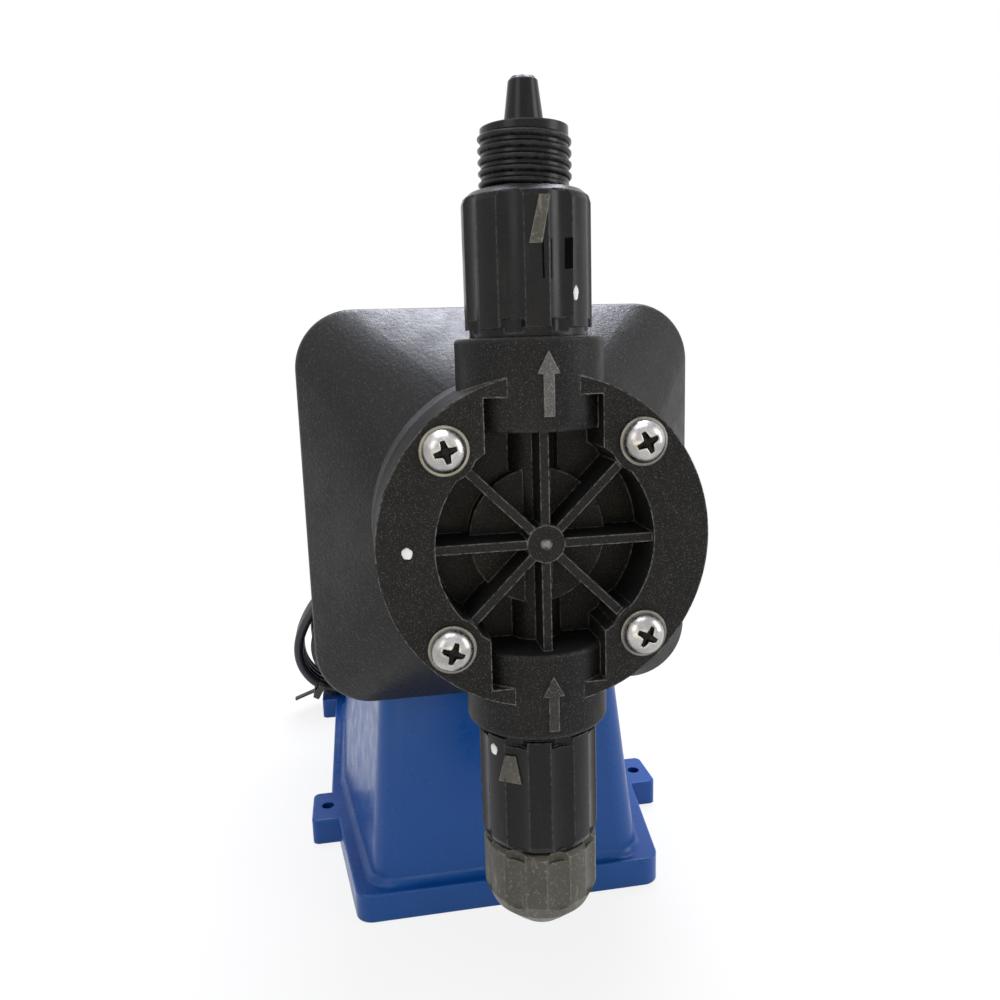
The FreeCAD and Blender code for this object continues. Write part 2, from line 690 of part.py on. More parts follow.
def return_spring():
    """Coil spring on the shaft, between the pole piece's pocket and the armature."""
    free = s["spring_pocket"] + s["stroke_gap"] - 2 * s["spring_wire"]
    helix = Part.makeHelix(free / s["spring_turns"], free, s["spring_radius"])
    section = Part.Wire([Part.makeCircle(s["spring_wire"], Vector(s["spring_radius"], 0, 0),
                                         Vector(0, 1, 0))])
    coil = Part.Wire(helix.Edges).makePipeShell([section], True, True)
    thing = shaped("return_spring_coil", coil)
    return place(thing, BACK, depth=FRAME_START + " + pole_length - spring_pocket + spring_wire")


keep("return_spring", return_spring())

# Housing: a square body whose front narrows to the round snout behind the liquid end


def rounded_square(depth, half, top, bottom, corner):
    """Wire of four sides and four corner arcs, counter-clockwise seen from the front."""
    def at(x, z):
        return Vector(x, depth, z)
    bend = corner * (1 - math.sqrt(0.5))
    edges = []
    for sx, sz in ((1, 1), (-1, 1), (-1, -1), (1, -1)):
        z = top if sz > 0 else -bottom
        side, end = at(sx * half, z - sz * corner), at(sx * (half - corner), z)
        middle = at(sx * (half - bend), z - sz * bend)
        first, last = (side, end) if sx * sz > 0 else (end, side)
        edges.append(Part.Arc(first, middle, last).toShape())
        nx, nz = (-sx, sz) if sx == sz else (sx, -sz)
        z2 = top if nz > 0 else -bottom
        if sx * sz > 0:
            edges.append(Part.makeLine(last, at(nx * (half - corner), z2)))
        else:
            edges.append(Part.makeLine(last, at(nx * half, z2 - nz * corner)))
    return Part.Wire(edges)


def parted_circle(depth, radius, side_angle):
    """Circle in the same eight pieces, its four side arcs each side_angle wide."""
    def at(angle):
        return Vector(radius * math.cos(math.radians(angle)), depth,
                      radius * math.sin(math.radians(angle)))
    edges = []
    for quarter in range(4):
        start = 90 * quarter + side_angle / 2
        for a, b in ((start, start + 90 - side_angle), (start + 90 - side_angle, start + 90)):
            edges.append(Part.Arc(at(a), at((a + b) / 2), at(b)).toShape())
    return Part.Wire(edges)


SIDE_ANGLE = 54.0


def square_block(front, back, inset=0.0):
    half, top, bottom = s["housing_half"] - inset, s["housing_top"] - inset, s["housing_bottom"] - inset
    wire = rounded_square(front, half, top, bottom, max(s["housing_corner"] - inset, 1.0))
    return Part.Face(wire).extrude(Vector(0, back - front, 0))


def snout_block(front, back, inset=0.0):
    half, top, bottom = s["housing_half"] - inset, s["housing_top"] - inset, s["housing_bottom"] - inset
    return Part.makeLoft([parted_circle(front, s["ring_radius"] - inset, SIDE_ANGLE),
                          rounded_square(back, half, top, bottom,
                                         max(s["housing_corner"] - inset, 1.0))], True, True)


def housing():
    front = s["ring_depth"] + s["adapter_depth"]
    shoulder = front + s["snout_length"]
    back = shoulder + s["housing_length"]
    wall = s["housing_wall"]
    outer = snout_block(front, shoulder).fuse(square_block(shoulder, back)).removeSplitter()
    edges = [edge for edge in outer.Edges
             if all(abs(v.Y - shoulder) < 0.01 for v in edge.Vertexes)]
    outer = outer.makeFillet(s["edge_round"], edges)
    inner = snout_block(front + s["snout_plate"], shoulder, wall).fuse(
        square_block(shoulder, back + 1, wall))
    shell = outer.cut(inner)
    shell = shell.cut(Part.makeCylinder(s["bush_radius"] + s["fit"], 3 * s["snout_plate"],
                                        Vector(0, front - s["snout_plate"], 0), Vector(0, 1, 0)))
    post_length, hole_depth = s["cover_post_length"], s["cover_hole_depth"]
    for x, z in cover_screw_spots():
        post = Part.makeCylinder(3 * s["cover_screw_radius"], post_length,
                                 Vector(x, back - post_length, z), Vector(0, 1, 0))
        hole = Part.makeCylinder(s["cover_screw_radius"] + s["fit"], hole_depth + 1,
                                 Vector(x, back - hole_depth, z), Vector(0, 1, 0))
        shell = shell.fuse(post.common(square_block(shoulder, back))).cut(hole)
    for x, depth in base_screw_spots():
        shell = shell.cut(Part.makeCylinder(
            s["base_screw_radius"] + s["fit"], 3 * wall,
            Vector(x, depth, -s["housing_bottom"] - wall), Vector(0, 0, 1)))
    thing = shaped("housing_shell", shell.removeSplitter())
    return place(thing, UP, depth="0")


def cover_screw_spots():
    inset = s["cover_screw_inset"]
    side, top, bottom = (s["housing_half"] - inset, s["housing_top"] - inset,
                         s["housing_bottom"] - inset)
    return [(x, z) for x in (-side, side) for z in (top, -bottom)]


def base_screw_spots():
    side = s["base_screw_side"]
    return [(x, depth) for x in (-side, side) for depth in (s["base_screw_front"], s["base_screw_back"])]


keep("housing", housing())

HOUSING_END = SNOUT + " + snout_length + housing_length"
COVER_START = HOUSING_END + " + gasket_thickness"
COVER_END = COVER_START + " + cover_depth"


def depth_of(text):
    """The value of a sum of sheet words, for the pieces shaped in code."""
    return sum(s[word.strip()] for word in text.split("+"))


def frame_gasket():
    end = depth_of(HOUSING_END)
    thick = s["gasket_thickness"]
    inset = s["gasket_inset"]
    window = square_block(end - 1, end + thick + 1, s["housing_wall"] - inset)
    ring = square_block(end, end + thick, inset).cut(window)
    return place(shaped("gasket_frame", ring), UP, depth="0")


def rear_cover():
    start, end = depth_of(COVER_START), depth_of(COVER_END)
    wall = s["cover_wall"]
    lid = square_block(start, end)
    rim = [edge for edge in lid.Edges if all(abs(v.Y - end) < 0.01 for v in edge.Vertexes)]
    lid = lid.makeFillet(s["edge_round"], rim)
    lid = lid.cut(square_block(start - 1, end - wall, wall))
    half, sink = s["panel_half"], s["panel_sink"]
    top, bottom = s["panel_top"], s["panel_bottom"]
    panel = Part.makeBox(2 * half, sink + 1, top + bottom, Vector(-half, end - sink, -bottom))
    upright = [edge for edge in panel.Edges if abs(edge.Vertexes[0].Y - edge.Vertexes[-1].Y) > sink]
    floor = Part.makeBox(2 * (half + sink), wall, top + bottom + 2 * sink,
                         Vector(-half - sink, end - sink - wall, -bottom - sink))
    lid = lid.fuse(floor).cut(panel.makeFillet(s["panel_corner"], upright))
    for x, z in cover_screw_spots():
        post = Part.makeCylinder(3 * s["cover_screw_radius"], s["cover_depth"] - 1,
                                 Vector(x, start, z), Vector(0, 1, 0))
        lid = lid.fuse(post)
    cuts = [(x, z, s["cover_screw_radius"] + s["clearance"]) for x, z in cover_screw_spots()]
    cuts += [(0, 0, s["rod_bush_radius"]), (0, -s["rate_drop"], s["spindle_hole"]),
             (s["lens_side"], -s["rate_drop"], s["lens_radius"] + s["fit"]),
             (-s["gland_side"], -s["gland_drop"], s["gland_radius"] - 2)]
    for x, z, radius in cuts:
        lid = lid.cut(Part.makeCylinder(radius, 2 * s["cover_depth"],
                                        Vector(x, start - 1, z), Vector(0, 1, 0)))
    return place(shaped("cover_shell", lid.removeSplitter()), UP, depth="0")


keep("cover_gasket", frame_gasket())
keep("rear_cover", rear_cover())


def cover_screws():
    end = depth_of(COVER_END)
    screws = []
    for x, z in cover_screw_spots():
        radius = s["cover_screw_radius"]
        head = Part.makeCylinder(2 * radius, radius, Vector(x, end, z), Vector(0, 1, 0))
        top = [edge for edge in head.Edges
               if len(edge.Vertexes) == 1 and edge.Vertexes[0].Y > end + radius / 2]
        head = head.makeFillet(radius * 0.6, top)
        stem = Part.makeCylinder(radius, s["cover_depth"] + 12,
                                 Vector(x, end - s["cover_depth"] - 12, z), Vector(0, 1, 0))
        screws.append(head.fuse(stem))
    return place(shaped("cover_screw_set", Part.makeCompound(screws)), UP, depth="0")


keep("cover_screws", cover_screws())

# Stroke adjustment: a threaded rod in a bush, turned by the large knob
PANEL = COVER_END + " - panel_sink"
keep("rod_bush", turned("rod_bush_body", [
    ("rod_radius + 0.05", "-cover_wall - 3"), ("rod_bush_radius + 2", "-cover_wall - 3"),
    ("rod_bush_radius + 2", "-cover_wall"), ("rod_bush_radius - fit", "-cover_wall"),
    ("rod_bush_radius - fit", "0"), ("rod_radius + 0.05", "0")], depth=PANEL))
ROD_START = FRAME_START + " + can_length + armature_tail + rod_gap"
keep("stroke_rod", turned("stroke_rod_body", [
    ("0", ROD_START), ("rod_radius - 1", ROD_START), ("rod_radius", ROD_START + " + 1"),
    ("rod_radius", PANEL + " + knob_length / 2"), ("0", PANEL + " + knob_length / 2")]))
keep("stroke_knob", fluted(turned("stroke_knob_body", [
    ("rod_radius + clearance", "knob_gap"), ("knob_radius", "knob_gap"), ("knob_radius", "knob_gap + 3"),
    ("knob_radius - 2", "knob_gap + 5"), ("knob_radius - 2", "knob_length - 1.5"),
    ("knob_radius - 3.5", "knob_length"), ("0", "knob_length"), ("0", "knob_length / 2 + 2.5"),
    ("rod_radius + clearance", "knob_length / 2 + 2.5")], depth=PANEL),
    "stroke_knob", "1.6", "0.9", "knob_radius - 2", "knob_gap + 5.5", "knob_length", 24))
keep("rate_knob", fluted(turned("rate_knob_body", [
    ("0", "knob_gap + 5"), ("spindle_radius + fit", "knob_gap + 5"),
    ("spindle_radius + fit", "knob_gap"), ("rate_knob_radius", "knob_gap"),
    ("rate_knob_radius", "knob_gap + 2.5"), ("rate_knob_radius - 1.6", "knob_gap + 4"),
    ("rate_knob_radius - 1.6", "rate_knob_length - 1"), ("rate_knob_radius - 2.6", "rate_knob_length"),
    ("0", "rate_knob_length")], depth=PANEL, rise="-rate_drop"),
    "rate_knob", "1.2", "0.7", "rate_knob_radius - 1.6", "knob_gap + 4.5", "rate_knob_length", 18))
keep("rate_spindle", solid("Cylinder", "rate_spindle_rod", BACK, depth=PANEL + " - 7",
                           rise="-rate_drop", Radius="spindle_radius", Height="knob_gap + 12"))
keep("rate_control", cut("rate_control_body", solid(
    "Cylinder", "rate_can", BACK, depth=PANEL + " - board_gap", rise="-rate_drop",
    Radius="control_radius", Height="board_gap - cover_wall"), [solid(
        "Cylinder", "rate_can_bore", BACK, depth=PANEL + " - 7.3", rise="-rate_drop",
        Radius="spindle_radius + 0.1", Height="board_gap")]))
keep("power_lens", turned("power_lens_body", [
    ("0", "-cover_wall"), ("lens_radius", "-cover_wall"), ("lens_radius", "0"),
    ("lens_radius + 0.8", "0"), ("lens_radius + 0.5", "1.2"), ("0", "1.8")],
    x="lens_side", depth=PANEL, rise="-rate_drop"))
keep("control_board", cut("control_board_cut", solid(
    "Box", "board_blank", x="-board_half", depth=PANEL + " - board_gap - board_thickness",
    rise="-board_half - board_drop", Length="2 * board_half", Width="board_thickness",
    Height="2 * board_half"),
    [solid("Cylinder", "board_hole", BACK, depth=PANEL + " - board_gap - 5",
           Radius="rod_bush_radius + 4", Height="12")]))
keep("cord_gland", turned("cord_gland_body", [
    ("cord_radius", "-cover_wall - 4"), ("gland_radius - 2.1", "-cover_wall - 4"),
    ("gland_radius - 2.1", "0"), ("gland_radius", "0"), ("gland_radius", "5"),
    ("gland_radius - 1", "gland_length - 7"), ("cord_radius + 2.4", "gland_length"),
    ("cord_radius", "gland_length")], x="-gland_side", depth=COVER_END, rise="-gland_drop"))

# Pedestal: flange with four ears and a hollow body that leans in towards the housing


def plan_wire(spots, height, corner):
    """Closed outline at a height, with its corners rounded to the radii given with the spots."""
    edges = []
    ends = []
    count = len(spots)
    for i in range(count):
        here = Vector(spots[i][0], spots[i][1], height)
        before = Vector(spots[i - 1][0], spots[i - 1][1], height)
        after = Vector(spots[(i + 1) % count][0], spots[(i + 1) % count][1], height)
        radius = spots[i][2] if len(spots[i]) > 2 else corner
        u = (before - here).normalize()
        v = (after - here).normalize()
        half_angle = u.getAngle(v) / 2
        run = radius / math.tan(half_angle)
        start, end = here + u * run, here + v * run
        centre = here + (u + v).normalize() * (radius / math.sin(half_angle))
        middle = centre + (here - centre).normalize() * radius
        ends.append((start, middle, end))
    for i in range(count):
        start, middle, end = ends[i]
        edges.append(Part.Arc(start, middle, end).toShape())
        edges.append(Part.makeLine(end, ends[(i + 1) % count][0]))
    return Part.Wire(edges)


def mirrored_plan(side):
    """A plan from its right side, listed from front to back."""
    return side + [(-spot[0],) + tuple(spot[1:]) for spot in reversed(side)]


def pedestal_plan(height, rise_share, inset=0.0):
    lean = s["pedestal_lean"] * rise_share
    side = s["pedestal_side_lean"] * rise_share
    front, knee, back = s["pedestal_front"] + lean, s["pedestal_knee"], s["pedestal_back"] - lean
    corner = max(s["pedestal_corner"] - inset, 1.0)
    spots = [(s["pedestal_front_half"] - 0.6 * side - inset, front + inset, corner),
             (s["pedestal_half"] - side - inset, knee, s["knee_round"]),
             (s["pedestal_half"] + 1.0 - side - inset, back - inset, corner)]
    return plan_wire(mirrored_plan(spots), height, corner)


def rear_hole_depth():
    return 2 * s["face_to_bolts"] - s["front_hole"]


def base():
    top = s["axis_height"] - s["housing_bottom"]
    flange_top = s["flange_height"]
    hole_depths = (s["front_hole"], rear_hole_depth())
    side = [(s["flange_front_half"], s["flange_front"], s["flange_corner"])]
    knee = s["front_hole"] + s["ear_length"] / 2
    side.append((s["flange_half"], knee + 2, s["flange_knee_round"]))
    side.append((s["flange_half"], s["flange_back"], s["flange_corner"]))
    flange = Part.Face(plan_wire(mirrored_plan(side), 0, 1)).extrude(Vector(0, 0, flange_top))
    for depth in hole_depths:
        half = s["ear_length"] / 2
        reach = s["ear_reach"]
        ear = Part.Face(plan_wire([(-reach, depth - half), (reach, depth - half), (reach, depth + half),
                                   (-reach, depth + half)], 0, s["ear_corner"]))
        flange = flange.fuse(ear.extrude(Vector(0, 0, flange_top)))
    flange = flange.removeSplitter()
    rims = [edge for edge in flange.Edges
            if all(abs(v.Z - flange_top) < 0.01 for v in edge.Vertexes)]
    flange = flange.makeFillet(s["flange_edge"], rims)
    body = Part.makeLoft([pedestal_plan(flange_top - 1, 0.0), pedestal_plan(top, 1.0)], True, True)
    shape = body.fuse(flange)
    seam = [edge for edge in shape.Edges
            if all(abs(v.Z - flange_top) < 0.01 for v in edge.Vertexes)
            and inside_flange(edge)]
    shape = shape.makeFillet(s["flange_cove"], seam)
    wall, roof = s["pedestal_wall"], s["pedestal_roof"]
    inner = Part.makeLoft([pedestal_plan(-1, 0.0, wall),
                           pedestal_plan(top - roof, 1.0 - roof / (top - flange_top), wall)], True, True)
    shape = shape.cut(inner)
    for x, depth in base_screw_spots():
        shape = shape.cut(Part.makeCylinder(s["base_screw_radius"] + s["clearance"], 3 * roof,
                                            Vector(x, depth, top - 2 * roof), Vector(0, 0, 1)))
    for depth in hole_depths:
        for x in (-s["hole_side"], s["hole_side"]):
            shape = shape.cut(Part.makeCylinder(s["hole_radius"], 3 * flange_top,
                                                Vector(x, depth, -flange_top), Vector(0, 0, 1)))
    return place(shaped("base_body", shape), UP, depth="0", from_axis=False)


def inside_flange(edge):
    """True for the edges where the pedestal's body stands on the flange."""
    limit = s["pedestal_half"] + 2
    return all(abs(v.X) < limit and s["pedestal_front"] - 2 < v.Y < s["pedestal_back"] + 2
               and (abs(v.X) < s["flange_front_half"] - 3 or v.Y > s["pedestal_front"] + 2)
               for v in edge.Vertexes)


keep("base", base())


def base_screws():
    top = s["axis_height"] - s["housing_bottom"]
    screws = []
    for x, depth in base_screw_spots():
        radius = s["base_screw_radius"]
        seat = top - s["pedestal_roof"]
        head = Part.makeCylinder(2 * radius, 1.4 * radius, Vector(x, depth, seat - 1.4 * radius))
        stem = Part.makeCylinder(radius, s["base_screw_length"] - 1, Vector(x, depth, seat))
        screws.append(head.fuse(stem))
    return place(shaped("base_screw_set", Part.makeCompound(screws)), UP, depth="0", from_axis=False)


keep("base_screws", base_screws())

# Mains cord: from the gland down behind the pedestal into a put-away coil, then to the plug


# Corners of the cord's free stretch, from the gland's end, and of its tail, from the plug's end
CORD_CORNERS = [(0, 0, 0), (-0.5, 21.3, -1.2), (-5, 36, -16.5), (-15, 35.3, -36.4),
                (-26, 24.3, -52.4), (-35, 14.3, -64.4), (-41, 11, -78.4)]
TAIL_CORNERS = [(-46, 6.3, -7.0), (-32, 6.3, -7.0), (-14, 1.0, -0.6), (-0.3, 0.4, 0)]


def cord_route():
    """Route of the free stretch from the gland to the coil, as x, depth and rise over the axis."""
    start = Vector(-s["gland_side"], depth_of(COVER_END) + s["gland_length"], -s["gland_drop"])
    return [start + Vector(*corner) for corner in CORD_CORNERS]


def tail_route():
    """Route of the short stretch from the coil to the plug, which lies on the flange."""
    rest = s["flange_height"] - s["axis_height"] + s["plug_height"] / 2 + s["clearance"]
    start = Vector(-s["plug_side"], s["coil_place"], rest)
    return [start + Vector(*corner) for corner in TAIL_CORNERS]


def arc_path(points):
    """Straight runs joined by tangent arcs, each as large as its runs allow."""
    edges = []
    here = points[0]
    for i in range(1, len(points) - 1):
        corner = points[i]
        u = (points[i - 1] - corner)
        v = (points[i + 1] - corner)
        run = 0.45 * min(u.Length, v.Length)
        u.normalize()
        v.normalize()
        turn = math.pi - u.getAngle(v)
        radius = run / math.tan(turn / 2)
        print("cord radius %.1f" % radius)
        start, end = corner + u * run, corner + v * run
        centre = corner + (u + v).normalize() * (radius / math.cos(turn / 2))
        middle = centre + (corner - centre).normalize() * radius
        edges.append(Part.makeLine(here, start))
        edges.append(Part.Arc(start, middle, end).toShape())
        here = end
    edges.append(Part.makeLine(here, points[-1]))
    return Part.Wire(edges)


def tube(points, radius):
    path = arc_path(points)
    first = (points[1] - points[0])
    section = Part.Wire([Part.makeCircle(radius, points[0], first)])
    pipe = path.makePipeShell([section], True, True)
    print("cord volume over section times length %.4f"
          % (pipe.Volume / (math.pi * radius ** 2 * path.Length)))
    return pipe


# Outline of the coil's large turns, which stand on the flange, as x, rise and corner radius
COIL_OUTLINE = [(-105.8, 0, 25.0), (-27.3, 0, 24.7), (-27.3, 68.2, 27.0), (-81.5, 68.2, 27.0)]
# Where the ties go round the turns, as x and rise over the coil's foot, angle and bundle thickness
LEFT_TIE = (-81.5, 5.7, 120.0, 5.5)
RIGHT_TIE = (-32.5, 30.0, 0.0, 10.6)
# Start and angle of the left tie's loose tail
TIE_TAIL = (-83.5, 2.2, 160.0)


def coil_foot(depth=0.0):
    """A point under the coil, at a depth from its middle."""
    return Vector(0, s["coil_place"] + depth, s["flange_height"] - s["axis_height"] + s["clearance"])


def cord_coil():
    """Large turns side by side, with small ones lying loose in them, low and to the right."""
    depth, thick = s["coil_depth"], 2 * s["cord_radius"]
    front = coil_foot(-depth / 2)
    outline = plan_wire(COIL_OUTLINE, 0, 1)
    large = Part.Face(outline).extrude(Vector(0, 0, -depth)).cut(
        Part.Face(outline.makeOffset2D(-thick)).extrude(Vector(0, 0, -depth)))
    upright = Placement(front, Rotation(Vector(1, 0, 0), 90))
    centre = front + Vector(-s["small_turn_side"], 0, s["small_turn_rise"])
    radius = s["small_turn_radius"]
    small = Part.makeCylinder(radius + thick / 2, depth, centre, Vector(0, 1, 0)).cut(
        Part.makeCylinder(radius - thick / 2, depth, centre, Vector(0, 1, 0)))
    turns = large.transformed(upright.toMatrix(), True).fuse(small)
    return place(shaped("cord_coil_turns", turns), UP, depth="0")


def cord_tie():
    """Two straps round the coil's turns, the left one with a loose tail."""
    thick, width, gap = s["tie_thickness"], s["tie_width"], s["clearance"]

    def strap(x, rise, angle, bundle):
        def block(grow, wide):
            across, deep = bundle + 2 * grow, s["coil_depth"] + 2 * grow
            return Part.makeBox(across, deep, wide, Vector(-across / 2, -deep / 2, -wide / 2))
        ring = block(gap + thick, width).cut(block(gap, 2 * width))
        turn = Placement(coil_foot() + Vector(x, 0, rise), Rotation(Vector(0, 1, 0), angle))
        return ring.transformed(turn.toMatrix(), True)
    tail = Part.makeBox(s["tie_tail"], width, thick, Vector(0, -width, -thick / 2))
    x, rise, angle = TIE_TAIL
    start = Placement(coil_foot() + Vector(x, 0, rise), Rotation(Vector(0, 1, 0), angle))
    left = strap(*LEFT_TIE).fuse(tail.transformed(start.toMatrix(), True))
    straps = Part.makeCompound([left, strap(*RIGHT_TIE)])
    return place(shaped("cord_tie_straps", straps), UP, depth="0")


def power_plug():
    """Moulded plug with two flat blades and an earth pin, lying on the flange."""
    width, height, length = s["plug_width"], s["plug_height"], s["plug_length"]
    rest = s["flange_height"] - s["axis_height"] + s["clearance"]
    x, depth = -s["plug_side"], s["coil_place"]
    grip = 0.3 * length
    body = Part.makeBox(length - grip, width, height, Vector(x + grip, depth - width / 2, rest))
    lengthwise = [edge for edge in body.Edges if abs(edge.Vertexes[0].X - edge.Vertexes[-1].X) > 1]
    body = body.makeFillet(height / 5, lengthwise)
    middle = Vector(x, depth, rest + height / 2)
    body = body.fuse(Part.makeCone(height / 4, height / 2.6, grip + 1, middle, Vector(1, 0, 0)))
    reach, thick, wide = s["blade_length"], s["blade_thickness"], s["blade_width"]
    face = middle + Vector(length, 0, 0)
    for side in (-s["blade_spacing"] / 2, s["blade_spacing"] / 2):
        corner = face + Vector(0, side - thick / 2, -s["blade_drop"])
        body = body.fuse(Part.makeBox(reach, thick, wide, corner))
    pin = Part.makeCylinder(s["pin_radius"], reach, face + Vector(0, 0, s["pin_rise"]), Vector(1, 0, 0))
    return place(shaped("power_plug_body", body.fuse(pin)), UP, depth="0")


keep("power_cord", place(shaped("power_cord_tube", tube(cord_route(), s["cord_radius"])), UP, depth="0"))
keep("power_cord_tail", place(shaped("power_tail_tube", tube(tail_route(), s["cord_radius"])), UP, depth="0"))
keep("cord_coil", cord_coil())
keep("cord_tie", cord_tie())
keep("power_plug", power_plug())

# Export every sub-part once the whole document is sound
doc.recompute()
for thing in doc.Objects:
    if "Invalid" in thing.State or "Error" in thing.State:
        raise RuntimeError("%s failed: %s" % (thing.Label, thing.State))
os.makedirs("parts", exist_ok=True)
for name, thing in parts.items():
    shape = thing.Shape
    if shape.isNull() or not shape.isValid():
        raise RuntimeError(name + " has no valid shape")
    shape.exportStep("parts/%s.step" % name)
    box = shape.BoundBox
    print("%-20s solids %d volume %.0f  x %.1f %.1f  y %.1f %.1f  z %.1f %.1f" % (
        name, len(shape.Solids), shape.Volume, box.XMin, box.XMax, box.YMin, box.YMax, box.ZMin, box.ZMax))
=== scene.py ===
# %% [markdown]
# # A diaphragm metering pump
#
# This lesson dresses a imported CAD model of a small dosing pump. The CAD gives every
# rigid piece its real shape and place, in metres, with the liquid end facing -Y.
# Here the pieces get their finishes, the fine relief that CAD leaves out, and the cord.

import json
import math

import bmesh
import bpy
from mathutils import Matrix, Vector


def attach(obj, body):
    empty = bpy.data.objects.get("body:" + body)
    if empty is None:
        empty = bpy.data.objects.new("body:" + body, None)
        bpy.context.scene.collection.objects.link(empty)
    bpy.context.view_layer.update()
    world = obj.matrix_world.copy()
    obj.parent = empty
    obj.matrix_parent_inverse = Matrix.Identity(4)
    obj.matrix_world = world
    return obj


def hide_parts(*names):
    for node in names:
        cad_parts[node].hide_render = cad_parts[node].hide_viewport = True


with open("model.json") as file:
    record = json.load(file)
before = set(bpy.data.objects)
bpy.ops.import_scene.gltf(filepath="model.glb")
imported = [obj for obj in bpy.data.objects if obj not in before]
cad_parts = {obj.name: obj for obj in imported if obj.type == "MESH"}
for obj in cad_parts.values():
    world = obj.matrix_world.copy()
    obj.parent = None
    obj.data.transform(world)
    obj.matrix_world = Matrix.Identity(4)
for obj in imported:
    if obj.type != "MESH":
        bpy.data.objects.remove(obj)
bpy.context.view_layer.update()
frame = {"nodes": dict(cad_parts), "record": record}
nodes = frame["nodes"]
MM = 0.001

# %% [markdown]
# ## Places to measure from
#
# The marks and the relief added below have to sit on the CAD surfaces. A few pieces give the
# places to measure from: the ring's axis, the fittings' axis, the plane under the screw heads
# and the back panel. They are read from the model, so they stay true when a size changes.

# %% Take the main places from the model


def span(name):
    """Lowest and highest corner of a piece, in metres."""
    node = nodes[name]
    corners = [node.matrix_world @ Vector(corner) for corner in node.bound_box]
    return (Vector([min(c[i] for c in corners) for i in range(3)]),
            Vector([max(c[i] for c in corners) for i in range(3)]))


def middle_of(name, axis):
    """Middle of a piece along an axis, from 0 for X to 2 for Z."""
    low, high = span(name)
    return (low[axis] + high[axis]) / 2


PANEL_SINK = 2.0 * MM
AXIS_Z = middle_of("adapter_ring", 2)
RATE_Z = middle_of("rate_knob", 2)
VALVE_Y = middle_of("discharge_ball", 1)
WASHER_Y = span("head_washers")[0].y
PANEL_Y = span("rear_cover")[1].y - PANEL_SINK
print("axis height", round(AXIS_Z, 4), "valve axis depth", round(VALVE_Y, 4))

# %% [markdown]
# ## The camera
#
# The photograph was taken from close by, a little left of the pump and a little above its
# axis, with a fairly wide lens. The place and the three angles come from a fit to points of
# the pump, so the script can write them down and doesn't need tracking constraints.

# %% Put up the camera
EYE = Vector((-0.0498, -0.4306, 0.2162))
YAW, PITCH, ROLL = math.radians(-9.53), math.radians(10.25), math.radians(-1.71)
FOCAL_LENGTH = 30.106
SENSOR_WIDTH = 36.0

forward = Vector((math.sin(-YAW) * math.cos(PITCH), math.cos(YAW) * math.cos(PITCH),
                  -math.sin(PITCH)))
level_right = forward.cross(Vector((0, 0, 1))).normalized()
level_up = level_right.cross(forward)
right = level_right * math.cos(ROLL) + level_up * math.sin(ROLL)
up = level_up * math.cos(ROLL) - level_right * math.sin(ROLL)

camera_data = bpy.data.cameras.new("photo_camera")
camera_data.lens = FOCAL_LENGTH
camera_data.sensor_width = SENSOR_WIDTH
camera_data.clip_start = 0.01
camera = bpy.data.objects.new("photo_camera", camera_data)
bpy.context.scene.collection.objects.link(camera)
turn = Matrix((right, up, -forward)).transposed()
camera.matrix_world = Matrix.Translation(EYE) @ turn.to_4x4()
bpy.context.scene.camera = camera
print("camera at", tuple(round(v, 4) for v in EYE))

# %% [markdown]
# ## Materials from noise
#
# Moulded plastic is never one flat colour: glass fibre makes grey flecks, the mould leaves a
# fine grain, and handling leaves scuffs and lighter edges. One set of helpers builds all of
# that from noise in object coordinates, which need no unwrapping and stay put when a piece
# moves.

# %% Node helpers


def new_material(name):
    material = bpy.data.materials.new(name)
    material.use_nodes = True
    tree = material.node_tree
    return material, tree, tree.nodes["Principled BSDF"]


def noise(tree, scale, detail=3.0, roughness=0.55, stretch=(1, 1, 1)):
    """Noise in object coordinates, whose scale counts features per metre."""
    place = tree.nodes.new("ShaderNodeTexCoord")
    size = tree.nodes.new("ShaderNodeMapping")
    size.inputs["Scale"].default_value = stretch
    tree.links.new(place.outputs["Object"], size.inputs["Vector"])
    texture = tree.nodes.new("ShaderNodeTexNoise")
    texture.inputs["Scale"].default_value = scale
    texture.inputs["Detail"].default_value = detail
    texture.inputs["Roughness"].default_value = roughness
    tree.links.new(size.outputs["Vector"], texture.inputs["Vector"])
    return texture.outputs["Fac"]


def ramp(tree, value, low, high, start=0.0, end=1.0):
    """Stretch a value between two limits."""
    spread = tree.nodes.new("ShaderNodeMapRange")
    spread.inputs["From Min"].default_value = low
    spread.inputs["From Max"].default_value = high
    spread.inputs["To Min"].default_value = start
    spread.inputs["To Max"].default_value = end
    tree.links.new(value, spread.inputs["Value"])
    return spread.outputs["Result"]


def combine(tree, operation, first, second):
    """One value from two, by a Math node."""
    node = tree.nodes.new("ShaderNodeMath")
    node.operation = operation
    tree.links.new(first, node.inputs[0])
    tree.links.new(second, node.inputs[1])
    return node.outputs["Value"]


def blend_colours(tree, share, first, second):
    """Mix two colours, each a tuple or another node's output, by a share."""
    mix = tree.nodes.new("ShaderNodeMix")
    mix.data_type = "RGBA"
    tree.links.new(share, mix.inputs["Factor"])
    for socket, colour in ((mix.inputs["A"], first), (mix.inputs["B"], second)):
        if isinstance(colour, tuple):
            socket.default_value = (*colour, 1.0)
        else:
            tree.links.new(colour, socket)
    return mix.outputs["Result"]


def bump(tree, height, strength, distance, below):
    node = tree.nodes.new("ShaderNodeBump")
    node.inputs["Strength"].default_value = strength
    node.inputs["Distance"].default_value = distance
    tree.links.new(height, node.inputs["Height"])
    tree.links.new(below, node.inputs["Normal"])
    return node.outputs["Normal"]


def set_surface(tree, shader, colour, roughness, direction):
    """Join a material's colour, roughness and relief to its shader."""
    for name, value in (("Base Color", colour), ("Roughness", roughness), ("Normal", direction)):
        tree.links.new(value, shader.inputs[name])


print("node helpers ready")

